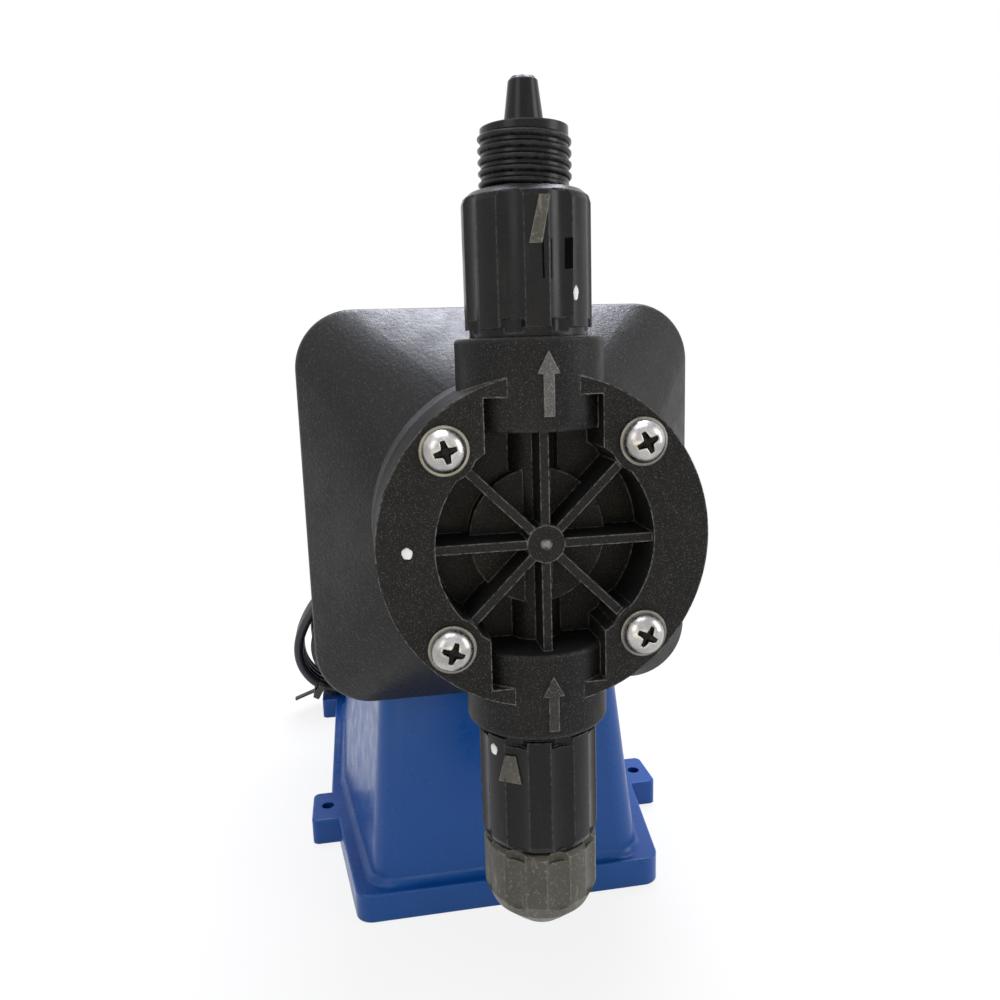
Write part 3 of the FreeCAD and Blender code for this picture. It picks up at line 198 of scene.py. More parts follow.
# %% [markdown]
# ## Rounded and worn edges
#
# No moulded edge is sharp, and the edges of a used pump are rubbed pale. Rounding them all in
# the mesh would cost many faces, so the bevel node rounds each one by a fraction of a
# millimetre in the shading alone. Where its direction departs from the face's own, there is
# an edge to wear.

# %% Edge helpers
EDGE_ROUND = 0.6 * MM
EDGE_SAMPLES = 4
# How well the two directions agree where the wear starts, and where it is full
WEAR_STARTS, WEAR_FULL = 0.998, 0.93
WEAR_SCALE = 650


def soft_edges(tree):
    """The face's direction, rounded near edges."""
    node = tree.nodes.new("ShaderNodeBevel")
    node.samples = EDGE_SAMPLES
    node.inputs["Radius"].default_value = EDGE_ROUND
    return node.outputs["Normal"]


def edge_wear(tree, rounded):
    """High at edges, where handling polishes plastic, and broken up by noise."""
    shape = tree.nodes.new("ShaderNodeNewGeometry")
    agree = tree.nodes.new("ShaderNodeVectorMath")
    agree.operation = "DOT_PRODUCT"
    tree.links.new(rounded, agree.inputs[0])
    tree.links.new(shape.outputs["Normal"], agree.inputs[1])
    at_edge = ramp(tree, agree.outputs["Value"], WEAR_STARTS, WEAR_FULL)
    return combine(tree, "MULTIPLY", at_edge, ramp(tree, noise(tree, WEAR_SCALE), 0.35, 0.6))


print("edges rounded in the shading by", EDGE_ROUND / MM, "mm")

# %% [markdown]
# ## Moulded plastic
#
# All the plastics of the pump differ only in colour, grain and gloss, so one recipe serves
# them all. It lays pale flecks and dull patches over the colour, then streaks and worn edges
# where they are asked for, and ends with the grain. Sizes of noise count features per metre,
# and the depth of the grain is in metres.

# %% The plastic recipe
FLECKS_PER_GRAIN = 2.2
PATCH_SCALE = 45
STREAK_SCALE = 420
UPRIGHT_STREAKS = (1, 1, 0.18)
GLOSS_SCALE = 120


def moulded_plastic(name, colour, pale, roughness, grain, depth, flecks=0.25,
                    wear=None, wear_share=0.5, scuffs=0.0, specular=0.35, patches=0.1):
    """Plastic with a moulded grain, pale flecks, dull patches and worn edges."""
    material, tree, shader = new_material(name)
    rounded = soft_edges(tree)
    speck = noise(tree, grain * FLECKS_PER_GRAIN, 2.0, 0.6)
    tone = blend_colours(tree, ramp(tree, speck, 0.56, 0.72, 0.0, flecks), colour, pale)
    patch = noise(tree, PATCH_SCALE, 3.0)
    tone = blend_colours(tree, ramp(tree, patch, 0.4, 0.75, 0.0, patches), tone, pale)
    if scuffs:
        streak = noise(tree, STREAK_SCALE, 2.0, 0.7, UPRIGHT_STREAKS)
        tone = blend_colours(tree, ramp(tree, streak, 0.6, 0.76, 0.0, scuffs), tone, pale)
    if wear:
        share = ramp(tree, edge_wear(tree, rounded), 0.0, 1.0, 0.0, wear_share)
        tone = blend_colours(tree, share, tone, wear)
    gloss = ramp(tree, noise(tree, GLOSS_SCALE, 4.0), 0.3, 0.7, roughness - 0.07, roughness + 0.09)
    set_surface(tree, shader, tone, gloss,
                bump(tree, noise(tree, grain, 4.0, 0.6), 0.5, depth, rounded))
    shader.inputs["Specular IOR Level"].default_value = specular
    return material


print("plastic recipe ready")

# %% [markdown]
# ## Plastics of the liquid end
#
# The head is glass-filled plastic: black with fine pale flecks and rubbed edges. The ring
# behind it is scratched paler, and so is the upper arrow. The valve fittings are smoother and
# glossier, and the cap nut at the bottom is scuffed to a dull olive grey.

# %% Mix the plastics of the liquid end
HEAD = moulded_plastic(
    "glass_filled_black", colour=(0.007, 0.0067, 0.007), pale=(0.12, 0.115, 0.11),
    roughness=0.46, grain=1200, depth=0.00009, flecks=0.6,
    wear=(0.3, 0.29, 0.27), wear_share=0.9, specular=0.14, patches=0.04)
ARROW = moulded_plastic(
    "rubbed_arrow", colour=(0.05, 0.048, 0.046), pale=(0.3, 0.29, 0.27),
    roughness=0.5, grain=1200, depth=0.00008, flecks=0.9,
    wear=(0.3, 0.29, 0.27), wear_share=0.8, patches=0.3)
FAINT_ARROW = moulded_plastic(
    "faint_arrow", colour=(0.022, 0.021, 0.02), pale=(0.16, 0.155, 0.145),
    roughness=0.5, grain=1200, depth=0.00008, flecks=0.7,
    wear=(0.3, 0.29, 0.27), wear_share=0.8, specular=0.2)
ADAPTER = moulded_plastic(
    "scratched_rim", colour=(0.022, 0.022, 0.023), pale=(0.2, 0.2, 0.2),
    roughness=0.46, grain=900, depth=0.00009, flecks=0.6,
    wear=(0.3, 0.29, 0.27), wear_share=0.8, scuffs=0.4, specular=0.25)
VALVE = moulded_plastic(
    "valve_black", colour=(0.005, 0.005, 0.0055), pale=(0.06, 0.058, 0.06),
    roughness=0.25, grain=700, depth=0.00002, flecks=0.12,
    wear=(0.16, 0.16, 0.17), wear_share=0.6, scuffs=0.16, specular=0.22, patches=0.03)
NUT = moulded_plastic(
    "scuffed_nut_black", colour=(0.062, 0.06, 0.048), pale=(0.25, 0.24, 0.2),
    roughness=0.42, grain=520, depth=0.00007, flecks=0.5,
    wear=(0.34, 0.33, 0.29), wear_share=0.6, scuffs=0.5, specular=0.25)
print("liquid end", [m.name for m in (HEAD, ARROW, FAINT_ARROW, ADAPTER, VALVE, NUT)])

# %% [markdown]
# ## Plastics of the body
#
# The housing has a leather grain that catches the light from above, the pedestal is smooth,
# saturated blue, and the knobs are plain black. The valve seats are pale, the control board
# is green, and white paint serves for the dabs, the dials and the pointers.

# %% Mix the plastics of the body
HOUSING = moulded_plastic(
    "textured_black", colour=(0.009, 0.009, 0.0085), pale=(0.11, 0.11, 0.12),
    roughness=0.4, grain=700, depth=0.00036, flecks=0.4,
    wear=(0.1, 0.1, 0.11), wear_share=0.4, specular=0.22, patches=0.03)
BASE = moulded_plastic(
    "pedestal_blue", colour=(0.003, 0.062, 0.27), pale=(0.01, 0.12, 0.42),
    roughness=0.3, grain=900, depth=0.00003, flecks=0.1,
    wear=(0.03, 0.2, 0.55), wear_share=0.6, specular=0.3, patches=0.08)
KNOB = moulded_plastic(
    "knob_black", colour=(0.012, 0.012, 0.013), pale=(0.05, 0.05, 0.05),
    roughness=0.42, grain=900, depth=0.00005, flecks=0.2,
    wear=(0.12, 0.12, 0.12), wear_share=0.4)
SEAT = moulded_plastic(
    "seat_white", colour=(0.72, 0.72, 0.69), pale=(0.8, 0.8, 0.78),
    roughness=0.4, grain=800, depth=0.00003, flecks=0.1)
BOARD = moulded_plastic(
    "board_green", colour=(0.012, 0.09, 0.03), pale=(0.02, 0.14, 0.05),
    roughness=0.3, grain=600, depth=0.00002, flecks=0.2)
PAINT = moulded_plastic(
    "white_paint", colour=(0.78, 0.78, 0.76), pale=(0.6, 0.6, 0.58),
    roughness=0.5, grain=900, depth=0.00004, flecks=0.2)
print("body", [m.name for m in (HOUSING, BASE, KNOB, SEAT, BOARD, PAINT)])

# %% [markdown]
# ## Metal, rubber and the rest
#
# The four screws and washers are stainless steel, slightly worn, so their gloss varies. Inner
# pieces are seen only when the pump is taken apart, but they get their own metal too. The
# lens is clear tinted plastic and the cord is soft vinyl.

# %% The metal and rubber recipes


def metal(name, colour, dark, roughness, scratch=900, stretch=(1, 1, 1)):
    """Bare metal with uneven tone and fine scratches, whose scale counts them per metre."""
    material, tree, shader = new_material(name)
    tone = ramp(tree, noise(tree, scratch * 0.25, 4.0, 0.6, stretch), 0.35, 0.68)
    gloss = ramp(tree, noise(tree, scratch, 3.0, 0.6, stretch), 0.3, 0.7,
                 roughness - 0.06, roughness + 0.1)
    fine = noise(tree, scratch * 2, 2.0, 0.5, stretch)
    set_surface(tree, shader, blend_colours(tree, tone, dark, colour), gloss,
                bump(tree, fine, 0.25, 0.00003, soft_edges(tree)))
    shader.inputs["Metallic"].default_value = 1.0
    return material


def soft(name, colour, pale, roughness, grain, specular=0.5):
    """A smooth or rubbery surface with faint mottling."""
    material, tree, shader = new_material(name)
    share = ramp(tree, noise(tree, grain, 3.0), 0.45, 0.7, 0.0, 0.5)
    gloss = ramp(tree, noise(tree, grain * 0.3, 2.0), 0.3, 0.7, roughness - 0.05, roughness + 0.08)
    set_surface(tree, shader, blend_colours(tree, share, colour, pale), gloss,
                bump(tree, noise(tree, grain * 3, 2.0), 0.3, 0.00003, soft_edges(tree)))
    shader.inputs["Specular IOR Level"].default_value = specular
    return material


STAINLESS = metal("stainless", (0.52, 0.51, 0.5), (0.34, 0.33, 0.32), roughness=0.25)
WASHER = metal("washer_steel", (0.26, 0.25, 0.23), (0.15, 0.145, 0.13), roughness=0.34)
# Painted shade: a near-black metal for the deep faces of the screws' cross recesses
RECESS_SHADE = metal("recess_painted_shade", (0.03, 0.029, 0.027), (0.012, 0.012, 0.011), roughness=0.5)
STEEL = metal("machined_steel", (0.44, 0.44, 0.45), (0.3, 0.3, 0.31), roughness=0.36)
BRASS = metal("blade_brass", (0.66, 0.5, 0.24), (0.5, 0.36, 0.15), roughness=0.28)
BRONZE = metal("bush_bronze", (0.56, 0.38, 0.18), (0.42, 0.27, 0.12), roughness=0.33)
WINDING = metal("winding_copper", (0.5, 0.22, 0.1), (0.34, 0.13, 0.06), roughness=0.38,
                scratch=1500, stretch=(1, 6, 1))
CERAMIC = soft("ball_ceramic", (0.76, 0.75, 0.7), (0.82, 0.81, 0.77), roughness=0.16, grain=500)
RUBBER = soft("seal_rubber", (0.012, 0.012, 0.012), (0.03, 0.03, 0.03), roughness=0.62, grain=700)
DIAPHRAGM = soft("diaphragm_face", (0.6, 0.6, 0.57), (0.68, 0.68, 0.66), roughness=0.42, grain=600)
CORD = soft("cord_vinyl", (0.01, 0.01, 0.012), (0.03, 0.03, 0.034), roughness=0.34, grain=800)
TIE = soft("tie_strap", (0.03, 0.03, 0.022), (0.075, 0.075, 0.055), roughness=0.5, grain=900)
# Painted shade: a near-black, barely reflecting sheet for the slots, in place of their shadow
SLOT_SHADE = soft("slot_painted_shade", (0.001, 0.001, 0.001), (0.004, 0.004, 0.004), roughness=0.7,
                 grain=700, specular=0.03)

LENS, lens_tree, lens_shader = new_material("lens_green")
lens_share = ramp(lens_tree, noise(lens_tree, 300), 0.3, 0.7)
set_surface(lens_tree, lens_shader,
            blend_colours(lens_tree, lens_share, (0.04, 0.42, 0.09), (0.06, 0.5, 0.12)),
            ramp(lens_tree, noise(lens_tree, 500), 0.3, 0.7, 0.08, 0.18),
            bump(lens_tree, noise(lens_tree, 900), 0.2, 0.00002, soft_edges(lens_tree)))
lens_shader.inputs["Transmission Weight"].default_value = 0.35
print("last finish", LENS.name, "materials so far", len(bpy.data.materials))

# %% [markdown]
# ## A finish for every piece
#
# The record names a material slot for each CAD piece, so one table from slots to finishes
# dresses them all, the inner ones too. The washers are duller than the screws, and the ring
# behind the head is paler than the head, so these two get a finish of their own.

# %% Give every CAD piece its finish
FINISHES = {
    "head_plastic": HEAD, "valve_plastic": VALVE, "nut_plastic": NUT,
    "housing_plastic": HOUSING, "base_plastic": BASE, "stainless": STAINLESS,
    "plain_steel": STEEL, "bronze": BRONZE, "winding": WINDING, "seat_plastic": SEAT,
    "ceramic": CERAMIC, "seal_rubber": RUBBER, "diaphragm_face": DIAPHRAGM,
    "knob_plastic": KNOB, "lens": LENS, "board": BOARD, "cord_jacket": CORD,
    "tie_plastic": TIE,
}
for entry in frame["record"]["subparts"]:
    piece = nodes[entry["node"]]
    piece.data.materials.clear()
    piece.data.materials.append(FINISHES[entry["material_slot"]])
nodes["head_washers"].data.materials[0] = WASHER
nodes["adapter_ring"].data.materials[0] = ADAPTER

# %% [markdown]
# ## Pieces from rows of points
#
# Most small pieces are a row of rings: a screw's head, a sleeve, a thread. Helpers make a
# mesh from points and faces with its finish, its slot and the body that carries it, join
# rings of equal length into a closed skin, and raise a flat outline off a surface, for
# arrows, dial marks and pointers.

# %% Mesh helpers


def add_piece(name, points, faces, finish, body="pump", smooth=True):
    """Make a mesh object that rides on a body of the pump."""
    mesh = bpy.data.meshes.new(name)
    mesh.from_pydata([tuple(point) for point in points], [], faces)
    mesh.materials.append(finish)
    work = bmesh.new()
    work.from_mesh(mesh)
    bmesh.ops.recalc_face_normals(work, faces=work.faces)
    work.to_mesh(mesh)
    work.free()
    mesh.polygons.foreach_set("use_smooth", [smooth] * len(mesh.polygons))
    piece = bpy.data.objects.new(name, mesh)
    bpy.context.scene.collection.objects.link(piece)
    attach(piece, body)
    return piece


def ring_skin(rings, first=0):
    """Faces of a closed skin over rings of equal length, with both ends capped."""
    count = len(rings[0])
    faces = []
    for j in range(len(rings) - 1):
        for i in range(count):
            k = (i + 1) % count
            row, above = first + j * count, first + (j + 1) * count
            faces.append((row + i, row + k, above + k, above + i))
    faces.append(tuple(first + i for i in reversed(range(count))))
    faces.append(tuple(first + (len(rings) - 1) * count + i for i in range(count)))
    return faces


def joined(rings):
    """The points of all rings in one list."""
    return [point for ring in rings for point in ring]


def loft(name, rings, finish):
    """A piece with one closed skin over its rings."""
    return add_piece(name, joined(rings), ring_skin(rings), finish)


def around(count):
    """Angles evenly round a circle."""
    return [2 * math.pi * i / count for i in range(count)]


def relief(name, outline, faces, place, height, sink, finish, body="pump"):
    """Raise a flat figure off a surface: its faces on top and a wall round its border."""
    points = [place(x, z, height) for x, z in outline] + [place(x, z, -sink) for x, z in outline]
    count = len(outline)
    edges = [(face[i], face[(i + 1) % len(face)]) for face in faces for i in range(len(face))]
    border = [(a, b) for a, b in edges if (b, a) not in edges]
    skin = list(faces) + [tuple(count + i for i in reversed(face)) for face in faces]
    skin += [(b, a, count + a, count + b) for a, b in border]
    return add_piece(name, points, skin, finish, body, smooth=False)


print("mesh helpers ready")

# %% [markdown]
# ## The pan head screws
#
# The four screws are pan heads with a cross recess, each left at its own angle by whoever
# tightened it. The head is a height field on a round grid: a low dome, from which the recess
# takes four arms that get shallower and narrower outwards. The recess's deep faces get a
# near-black metal, painted shade in place of the recess's shadow.

# %% Form the four screw heads
HEAD_RADIUS = 6.1
HEAD_HEIGHT = 4.0
RECESS_REACH = 3.3
RECESS_DEPTH = 2.3
ARM_TIP, ARM_FLARE = 0.75, 0.7
ARM_WALL, TIP_WALL = 0.22, 0.08
TIP_LOSS = 0.75
# How deep and how far out a face of the recess gets the painted shade
PAINTED_SHADE_DEPTH, PAINTED_SHADE_REACH = 0.5, RECESS_REACH + 0.3
SCREW_CIRCLE = 39.0
SCREW_TURNS = {135: 15, 45: 25, 225: -20, 315: -30}
RADIAL_STEPS = 52
ROUND_STEPS = 96


def dome(radius):
    """Height of the head without its recess."""
    return HEAD_HEIGHT * (1 - min(radius / HEAD_RADIUS, 1.0) ** 2.6) ** 0.6


def recess_depth(across, along):
    """Depth of the cross recess at a spot on the head."""
    deepest = 0.0
    for a, b in ((across, along), (along, across)):
        reach = abs(a) / RECESS_REACH
        half_width = ARM_TIP + ARM_FLARE * max(1 - reach, 0.0) ** 2
        inside = min((half_width - abs(b)) / ARM_WALL, (1 - reach) / TIP_WALL, 1.0)
        if inside > 0:
            deepest = max(deepest, inside * RECESS_DEPTH * (1 - TIP_LOSS * reach ** 1.6))
    return deepest


def head_height(radius, angle, recess_turn):
    across = radius * math.cos(angle - recess_turn)
    along = radius * math.sin(angle - recess_turn)
    return max(dome(radius) - recess_depth(across, along), 0.0)


def in_recess(spot, middle):
    """Whether a face of a screw's head lies well below its dome."""
    away = math.hypot(spot.x - middle.x, spot.z - middle.z) / MM
    return away < PAINTED_SHADE_REACH and dome(away) - (middle.y - spot.y) / MM > PAINTED_SHADE_DEPTH


screw_middles, screw_points, screw_faces = [], [], []
for corner, recess_angle in SCREW_TURNS.items():
    middle = Vector((SCREW_CIRCLE * math.cos(math.radians(corner)), 0,
                     SCREW_CIRCLE * math.sin(math.radians(corner)))) * MM
    middle += Vector((0, WASHER_Y, AXIS_Z))
    rings = []
    for j in range(RADIAL_STEPS):
        radius = HEAD_RADIUS * (1 - (j / RADIAL_STEPS) ** 1.15)
        ring = []
        for angle in around(ROUND_STEPS):
            rise = head_height(radius, angle, math.radians(recess_angle))
            ring.append(middle + Vector((radius * math.cos(angle), -rise,
                                         radius * math.sin(angle))) * MM)
        rings.append(ring)
    screw_faces += ring_skin(rings, len(screw_points))
    screw_points += joined(rings)
    screw_middles.append(middle)
pan_heads = add_piece("pan_head_screws", screw_points, screw_faces, STAINLESS)
# The deep faces of each recess get the painted shade
pan_heads.data.materials.append(RECESS_SHADE)
for polygon in pan_heads.data.polygons:
    if any(in_recess(polygon.center, middle) for middle in screw_middles):
        polygon.material_index = 1
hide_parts("head_screws")
print("screw head points", len(screw_points))

# %% [markdown]
# ## The upper fitting's thread
#
# The stub above the upper fitting is threaded for a tube nut. CAD has it as a plain rod, and
# here a ridge winds round it: one profile of a thread, carried along a helix, that grows out
# of the rod at its start and fades into it at its end.

# %% Wind the thread
THREAD_ROOT = 12.1
THREAD_CREST = 13.0
THREAD_PITCH = 3.0
THREAD_TURNS = 5.0
THREAD_START = 16.0
THREAD_LOW = span("discharge_valve")[1].z / MM - THREAD_START
RUN_OUT = 0.35
LEAST_GROWTH = 0.05
STEPS_PER_TURN = 40
THREAD_PROFILE = [(0.0, -1.25), (0.75, -0.5), (1.0, -0.3), (1.0, 0.3), (0.75, 0.5), (0.0, 1.25)]

thread_rings = []
for step in range(int(THREAD_TURNS * STEPS_PER_TURN) + 1):
    turned = step / STEPS_PER_TURN
    grown = min(1.0, turned / RUN_OUT, (THREAD_TURNS - turned) / RUN_OUT)
    angle = -2 * math.pi * turned
    ring = []
    for share, along in THREAD_PROFILE:
        radius = THREAD_ROOT + (THREAD_CREST - THREAD_ROOT) * share * max(grown, LEAST_GROWTH)
        ring.append(Vector((radius * math.cos(angle), VALVE_Y / MM + radius * math.sin(angle),
                            THREAD_LOW + THREAD_PITCH * turned + along)) * MM)
    thread_rings.append(ring)
loft("upper_thread", thread_rings, VALVE)
print("thread turns", THREAD_TURNS, "crest radius", THREAD_CREST, "mm")

# %% [markdown]
# ## Flow arrows
#
# An arrow stands up half a millimetre from the front of each collar. Both point up, the way
# the liquid goes. They bend round the collar, so each point is placed at its own depth. The
# upper one has been rubbed pale, the lower one only a little.

# %% Raise the arrows
COLLAR_RADIUS = 21.4
ARROW_HEIGHT = 0.55
ARROW_SINK = 0.4
HALF_SHAFT, HALF_HEAD, HEAD_LENGTH = 1.5, 3.2, 6.2
ARROW_FACES = [(0, 1, 4, 3), (1, 2, 5, 4), (6, 3, 8), (3, 4, 8), (4, 5, 8), (5, 7, 8)]


def on_collar(x, z, height):
    """A spot on the collars' front, at a rise over the pump's axis."""
    reach = COLLAR_RADIUS + height
    return Vector((x, VALVE_Y / MM - math.sqrt(reach ** 2 - x ** 2), AXIS_Z / MM + z)) * MM


def flow_arrow(name, x, low, high, finish):
    """An arrow that points up, from its foot to its tip over the axis."""
    neck = high - HEAD_LENGTH
    outline = [(x - HALF_SHAFT, low), (x, low), (x + HALF_SHAFT, low),
               (x - HALF_SHAFT, neck), (x, neck), (x + HALF_SHAFT, neck),
               (x - HALF_HEAD, neck), (x + HALF_HEAD, neck), (x, high)]
    return relief(name, outline, ARROW_FACES, on_collar, ARROW_HEIGHT, ARROW_SINK, finish)


arrows = [flow_arrow("upper_arrow", x=0.8, low=35.6, high=53.1, finish=ARROW),
          flow_arrow("lower_arrow", x=0.5, low=-53.9, high=-37.3, finish=FAINT_ARROW)]
print("arrows", [arrow.name for arrow in arrows])

# %% [markdown]
# ## The hub's gate mark
#
# Plastic is injected at the middle of the head, and the gate leaves a small round mark on the
# hub: a low rim round a dip. It is turned from one profile about the ring's axis.

# %% Mark the hub
WASHER_THICKNESS = 1.2
HUB_SET_BACK = 1.0
HUB_FACE_Y = WASHER_Y / MM + WASHER_THICKNESS + HUB_SET_BACK
GATE_PROFILE = [(1.75, 0.05), (1.6, -0.22), (1.25, -0.25), (0.95, -0.1), (0.4, -0.06)]
GATE_STEPS = 32
gate_rings = []
for radius, lift in GATE_PROFILE:
    gate_rings.append([Vector((radius * math.cos(angle), HUB_FACE_Y + lift,
                               AXIS_Z / MM + radius * math.sin(angle))) * MM
                       for angle in around(GATE_STEPS)])
loft("hub_gate_mark", gate_rings, HEAD)
print("gate mark radius", GATE_PROFILE[0][0], "mm")

# %% [markdown]
# ## Paint dabs
#
# The photographed pump has three small dabs of white paint, on the ring and on both fittings.
# Each is placed by line of sight: a ray leaves the camera through the dab's spot in the
# picture and stops on the piece. A dab is a thin, uneven blob along that surface.

# %% Place the paint dabs
FOCAL_PIXELS = 836.3
PICTURE_MIDDLE = 500
DABS = {"ring_dab": ("pump_head", 407, 554, 1.5, 1.9),
        "upper_dab": ("discharge_valve", 576, 293, 1.1, 2.0),
        "lower_dab": ("suction_valve", 494, 749, 1.4, 2.1)}
DAB_PROFILE = ((1.0, -0.15), (0.85, 0.12), (0.4, 0.2))
DAB_STEPS = 20


def sight(node_name, across, down):
    """Where a line of sight meets a piece, and which way the piece faces there."""
    node = nodes[node_name]
    ray = (forward * FOCAL_PIXELS + right * (across - PICTURE_MIDDLE)
           + up * (PICTURE_MIDDLE - down)).normalized()
    back = node.matrix_world.inverted()
    _, spot, normal, _ = node.ray_cast(back @ EYE, (back.to_3x3() @ ray).normalized())
    return node.matrix_world @ spot, (node.matrix_world.to_3x3() @ normal).normalized()


for name, (node_name, across, down, half_width, half_height) in DABS.items():
    spot, facing = sight(node_name, across, down)
    side = facing.cross(Vector((0, 0, 1))).normalized()
    rise = side.cross(facing)
    rings = []
    for reach, lift in DAB_PROFILE:
        ring = []
        for angle in around(DAB_STEPS):
            uneven = 1 + 0.1 * math.sin(2 * angle + down) + 0.05 * math.sin(5 * angle)
            ring.append(spot + (side * (half_width * reach * uneven * math.cos(angle))
                                + rise * (half_height * reach * uneven * math.sin(angle))
                                + facing * lift) * MM)
        rings.append(ring)
    loft(name, rings, PAINT)
    print(name, "at", [round(v, 4) for v in spot])

# %% [markdown]
# ## Wedges and slots on the fittings
#
# Both fittings carry a small pale wedge, and the upper one has two slots beside it. Their
# corners are placed by line of sight too. A wedge stands up half a millimetre, while a slot
# is a very thin near-black plate: painted shade in place of the shadow inside the slot.

# %% Place the wedges and slots
WEDGE_LIFT, SLOT_LIFT = 0.5, 0.12
WEDGE_ROOT = 0.4
WEDGES = {
    "upper_wedge": ("discharge_valve", [(539, 194), (549, 194), (542, 243), (529, 243)],
                    WEDGE_LIFT, NUT),
    # The two slots are thin plates in the painted shade of a recess
    "upper_slot": ("discharge_valve", [(542, 240), (552, 238), (552, 278), (543, 278)],
                   SLOT_LIFT, SLOT_SHADE),
    "small_slot": ("discharge_valve", [(565, 238), (573, 237), (573, 268), (565, 269)],
                   SLOT_LIFT, SLOT_SHADE),
    "lower_wedge": ("suction_valve", [(505, 755), (516, 756), (522, 784), (500, 780)],
                    WEDGE_LIFT, NUT)}
BOX_FACES = [(0, 1, 2, 3), (7, 6, 5, 4), (0, 4, 5, 1), (1, 5, 6, 2), (2, 6, 7, 3), (3, 7, 4, 0)]

for name, (node_name, corners, lift, finish) in WEDGES.items():
    met = [sight(node_name, across, down) for across, down in corners]
    points = [spot + facing * lift * MM for spot, facing in met]
    points += [spot - facing * WEDGE_ROOT * MM for spot, facing in met]
    add_piece(name, points, BOX_FACES, finish, smooth=False)
print("wedges and slots", len(WEDGES))

# %% [markdown]
# ## Dials on the back
#
# The large knob sets the stroke and turns three quarters of a turn, the small one sets the
# rate. Each has a dial of raised ticks round it, and the large one has plain numbers at its
# ends. The ticks are flat bars raised off the panel, and Blender's own font gives the figures.

# %% Raise the ticks and the numbers
TICK_HEIGHT, TICK_SINK = 0.2, 0.2
LONG_TICK_EVERY = 5
SHORTER_BY = 1.5
LONG_HALF_WIDTH, SHORT_HALF_WIDTH = 0.35, 0.22
FIGURE_SIZE = 4.0
FIGURE_DROP = 19.5
FIGURE_PLACES = {"100": 21.5, "0": -20.0}


def on_panel(middle_z, middle_x=0.0, face=PANEL_Y / MM):
    """Placer for the back: x runs to the right as seen from behind."""
    return lambda x, z, height: Vector((middle_x - x, face + height, middle_z / MM + z)) * MM


def bar(angle, inner, outer, half_width):
    """Corners of a line that points outwards, at an angle clockwise from the top."""
    out = Vector((math.sin(angle), math.cos(angle)))
    side = Vector((out.y, -out.x)) * half_width
    return [out * inner - side, out * inner + side, out * outer + side, out * outer - side]


def dial(name, middle_z, inner, outer, start, sweep, count):
    """Ticks round a knob, with angles clockwise from the top as seen from behind."""
    outline, faces = [], []
    for i in range(count):
        angle = math.radians(start + sweep * i / (count - 1))
        first = len(outline)
        if i % LONG_TICK_EVERY == 0:
            outline += bar(angle, inner, outer, LONG_HALF_WIDTH)
        else:
            outline += bar(angle, inner, outer - SHORTER_BY, SHORT_HALF_WIDTH)
        faces.append((first, first + 1, first + 2, first + 3))
    return relief(name, outline, faces, on_panel(middle_z), TICK_HEIGHT, TICK_SINK, PAINT)


def number(text, x, z):
    """Plain figures on the panel, centred on a spot."""
    letters = bpy.data.curves.new("figures_" + text, "FONT")
    letters.body = text
    letters.size = FIGURE_SIZE * MM
    letters.extrude = TICK_HEIGHT * MM
    letters.align_x = "CENTER"
    letters.align_y = "CENTER"
    writer = bpy.data.objects.new("figures", letters)
    bpy.context.scene.collection.objects.link(writer)
    bpy.context.view_layer.update()
    mesh = bpy.data.meshes.new_from_object(writer)
    bpy.data.objects.remove(writer)
    points = [Vector((-v.co.x + x, PANEL_Y + v.co.z, v.co.y + z)) for v in mesh.vertices]
    faces = [tuple(polygon.vertices) for polygon in mesh.polygons]
    return add_piece("figures_" + text, points, faces, PAINT, smooth=False)


dial("stroke_dial", AXIS_Z, inner=19.5, outer=23.0, start=225, sweep=-270, count=11)
dial("rate_dial", RATE_Z, inner=12.6, outer=15.4, start=-135, sweep=270, count=11)
for text, x in FIGURE_PLACES.items():
    number(text, x * MM, AXIS_Z - FIGURE_DROP * MM)
print("dials with the figures", list(FIGURE_PLACES))

# %% [markdown]
# ## Pointers on the knobs
#
# A white line on each knob shows its setting. It rides on the knob's body, so it turns with
# it. At rest the stroke knob stands at 100, and the rate knob points straight up.

# %% Put a pointer on each knob
POINTER_HALF_WIDTH = 0.6
POINTER_SINK = 0.3


def pointer(name, knob, middle_z, inner, outer, angle):
    """A line on a knob's face, from near its middle to its rim, that turns with the knob."""
    outline = bar(math.radians(angle), inner, outer, POINTER_HALF_WIDTH)
    placer = on_panel(middle_z, face=span(knob)[1].y / MM)
    return relief(name, outline, [(0, 1, 2, 3)], placer, TICK_HEIGHT, POINTER_SINK, PAINT,
                  body=knob)


pointers = [pointer("stroke_pointer", "stroke_knob", AXIS_Z, inner=3.0, outer=12.8, angle=225),
            pointer("rate_pointer", "rate_knob", RATE_Z, inner=1.5, outer=7.6, angle=0)]
print("pointers", [line.name for line in pointers])

# %% [markdown]
# ## The mains cord
#
# The cord leaves its gland at the back, drops in a soft bow and goes round in a loose
# put-away coil, of which the photograph shows the left edge. It is 5.5 mm thick, about 1.6 m
# long, with a plug. One smooth spline follows it all the way: down into the small turns, out
# to the large ones and off to the plug. The points lie evenly apart, because a spline bends
# most where its points crowd.

# %% The cord's route
THICK = 5.5 * MM
LAYER = 5.6
MIDDLE_LAYER = 3
COIL_Y = 68.5
GLAND_END = Vector((-46, 68.7, 132.4)) * MM
FREE_CORNERS = [(0, 0, 0), (-0.3, 14, -0.3), (-2, 26, -5.5), (-5, 34.3, -16), (-10, 36, -29.5),
                (-17, 32, -43), (-25, 25, -55), (-32.5, 18.3, -66.5), (-37, 13.8, -78)]
SMALL_CENTRE = Vector((-59.3, 43.3))
SMALL_REACH = 23.6
SMALL_POINTS = 51
SMALL_START, SMALL_STEP = 180, 30
SMALL_BACK, SMALL_CROSSED = 5.1, 4.1
STEP_OUT = [(-59.6, 18.6), (-47.1, 18.3), (-36.3, 24.6), (-30.2, 35.4), (-29.7, 46.5)]

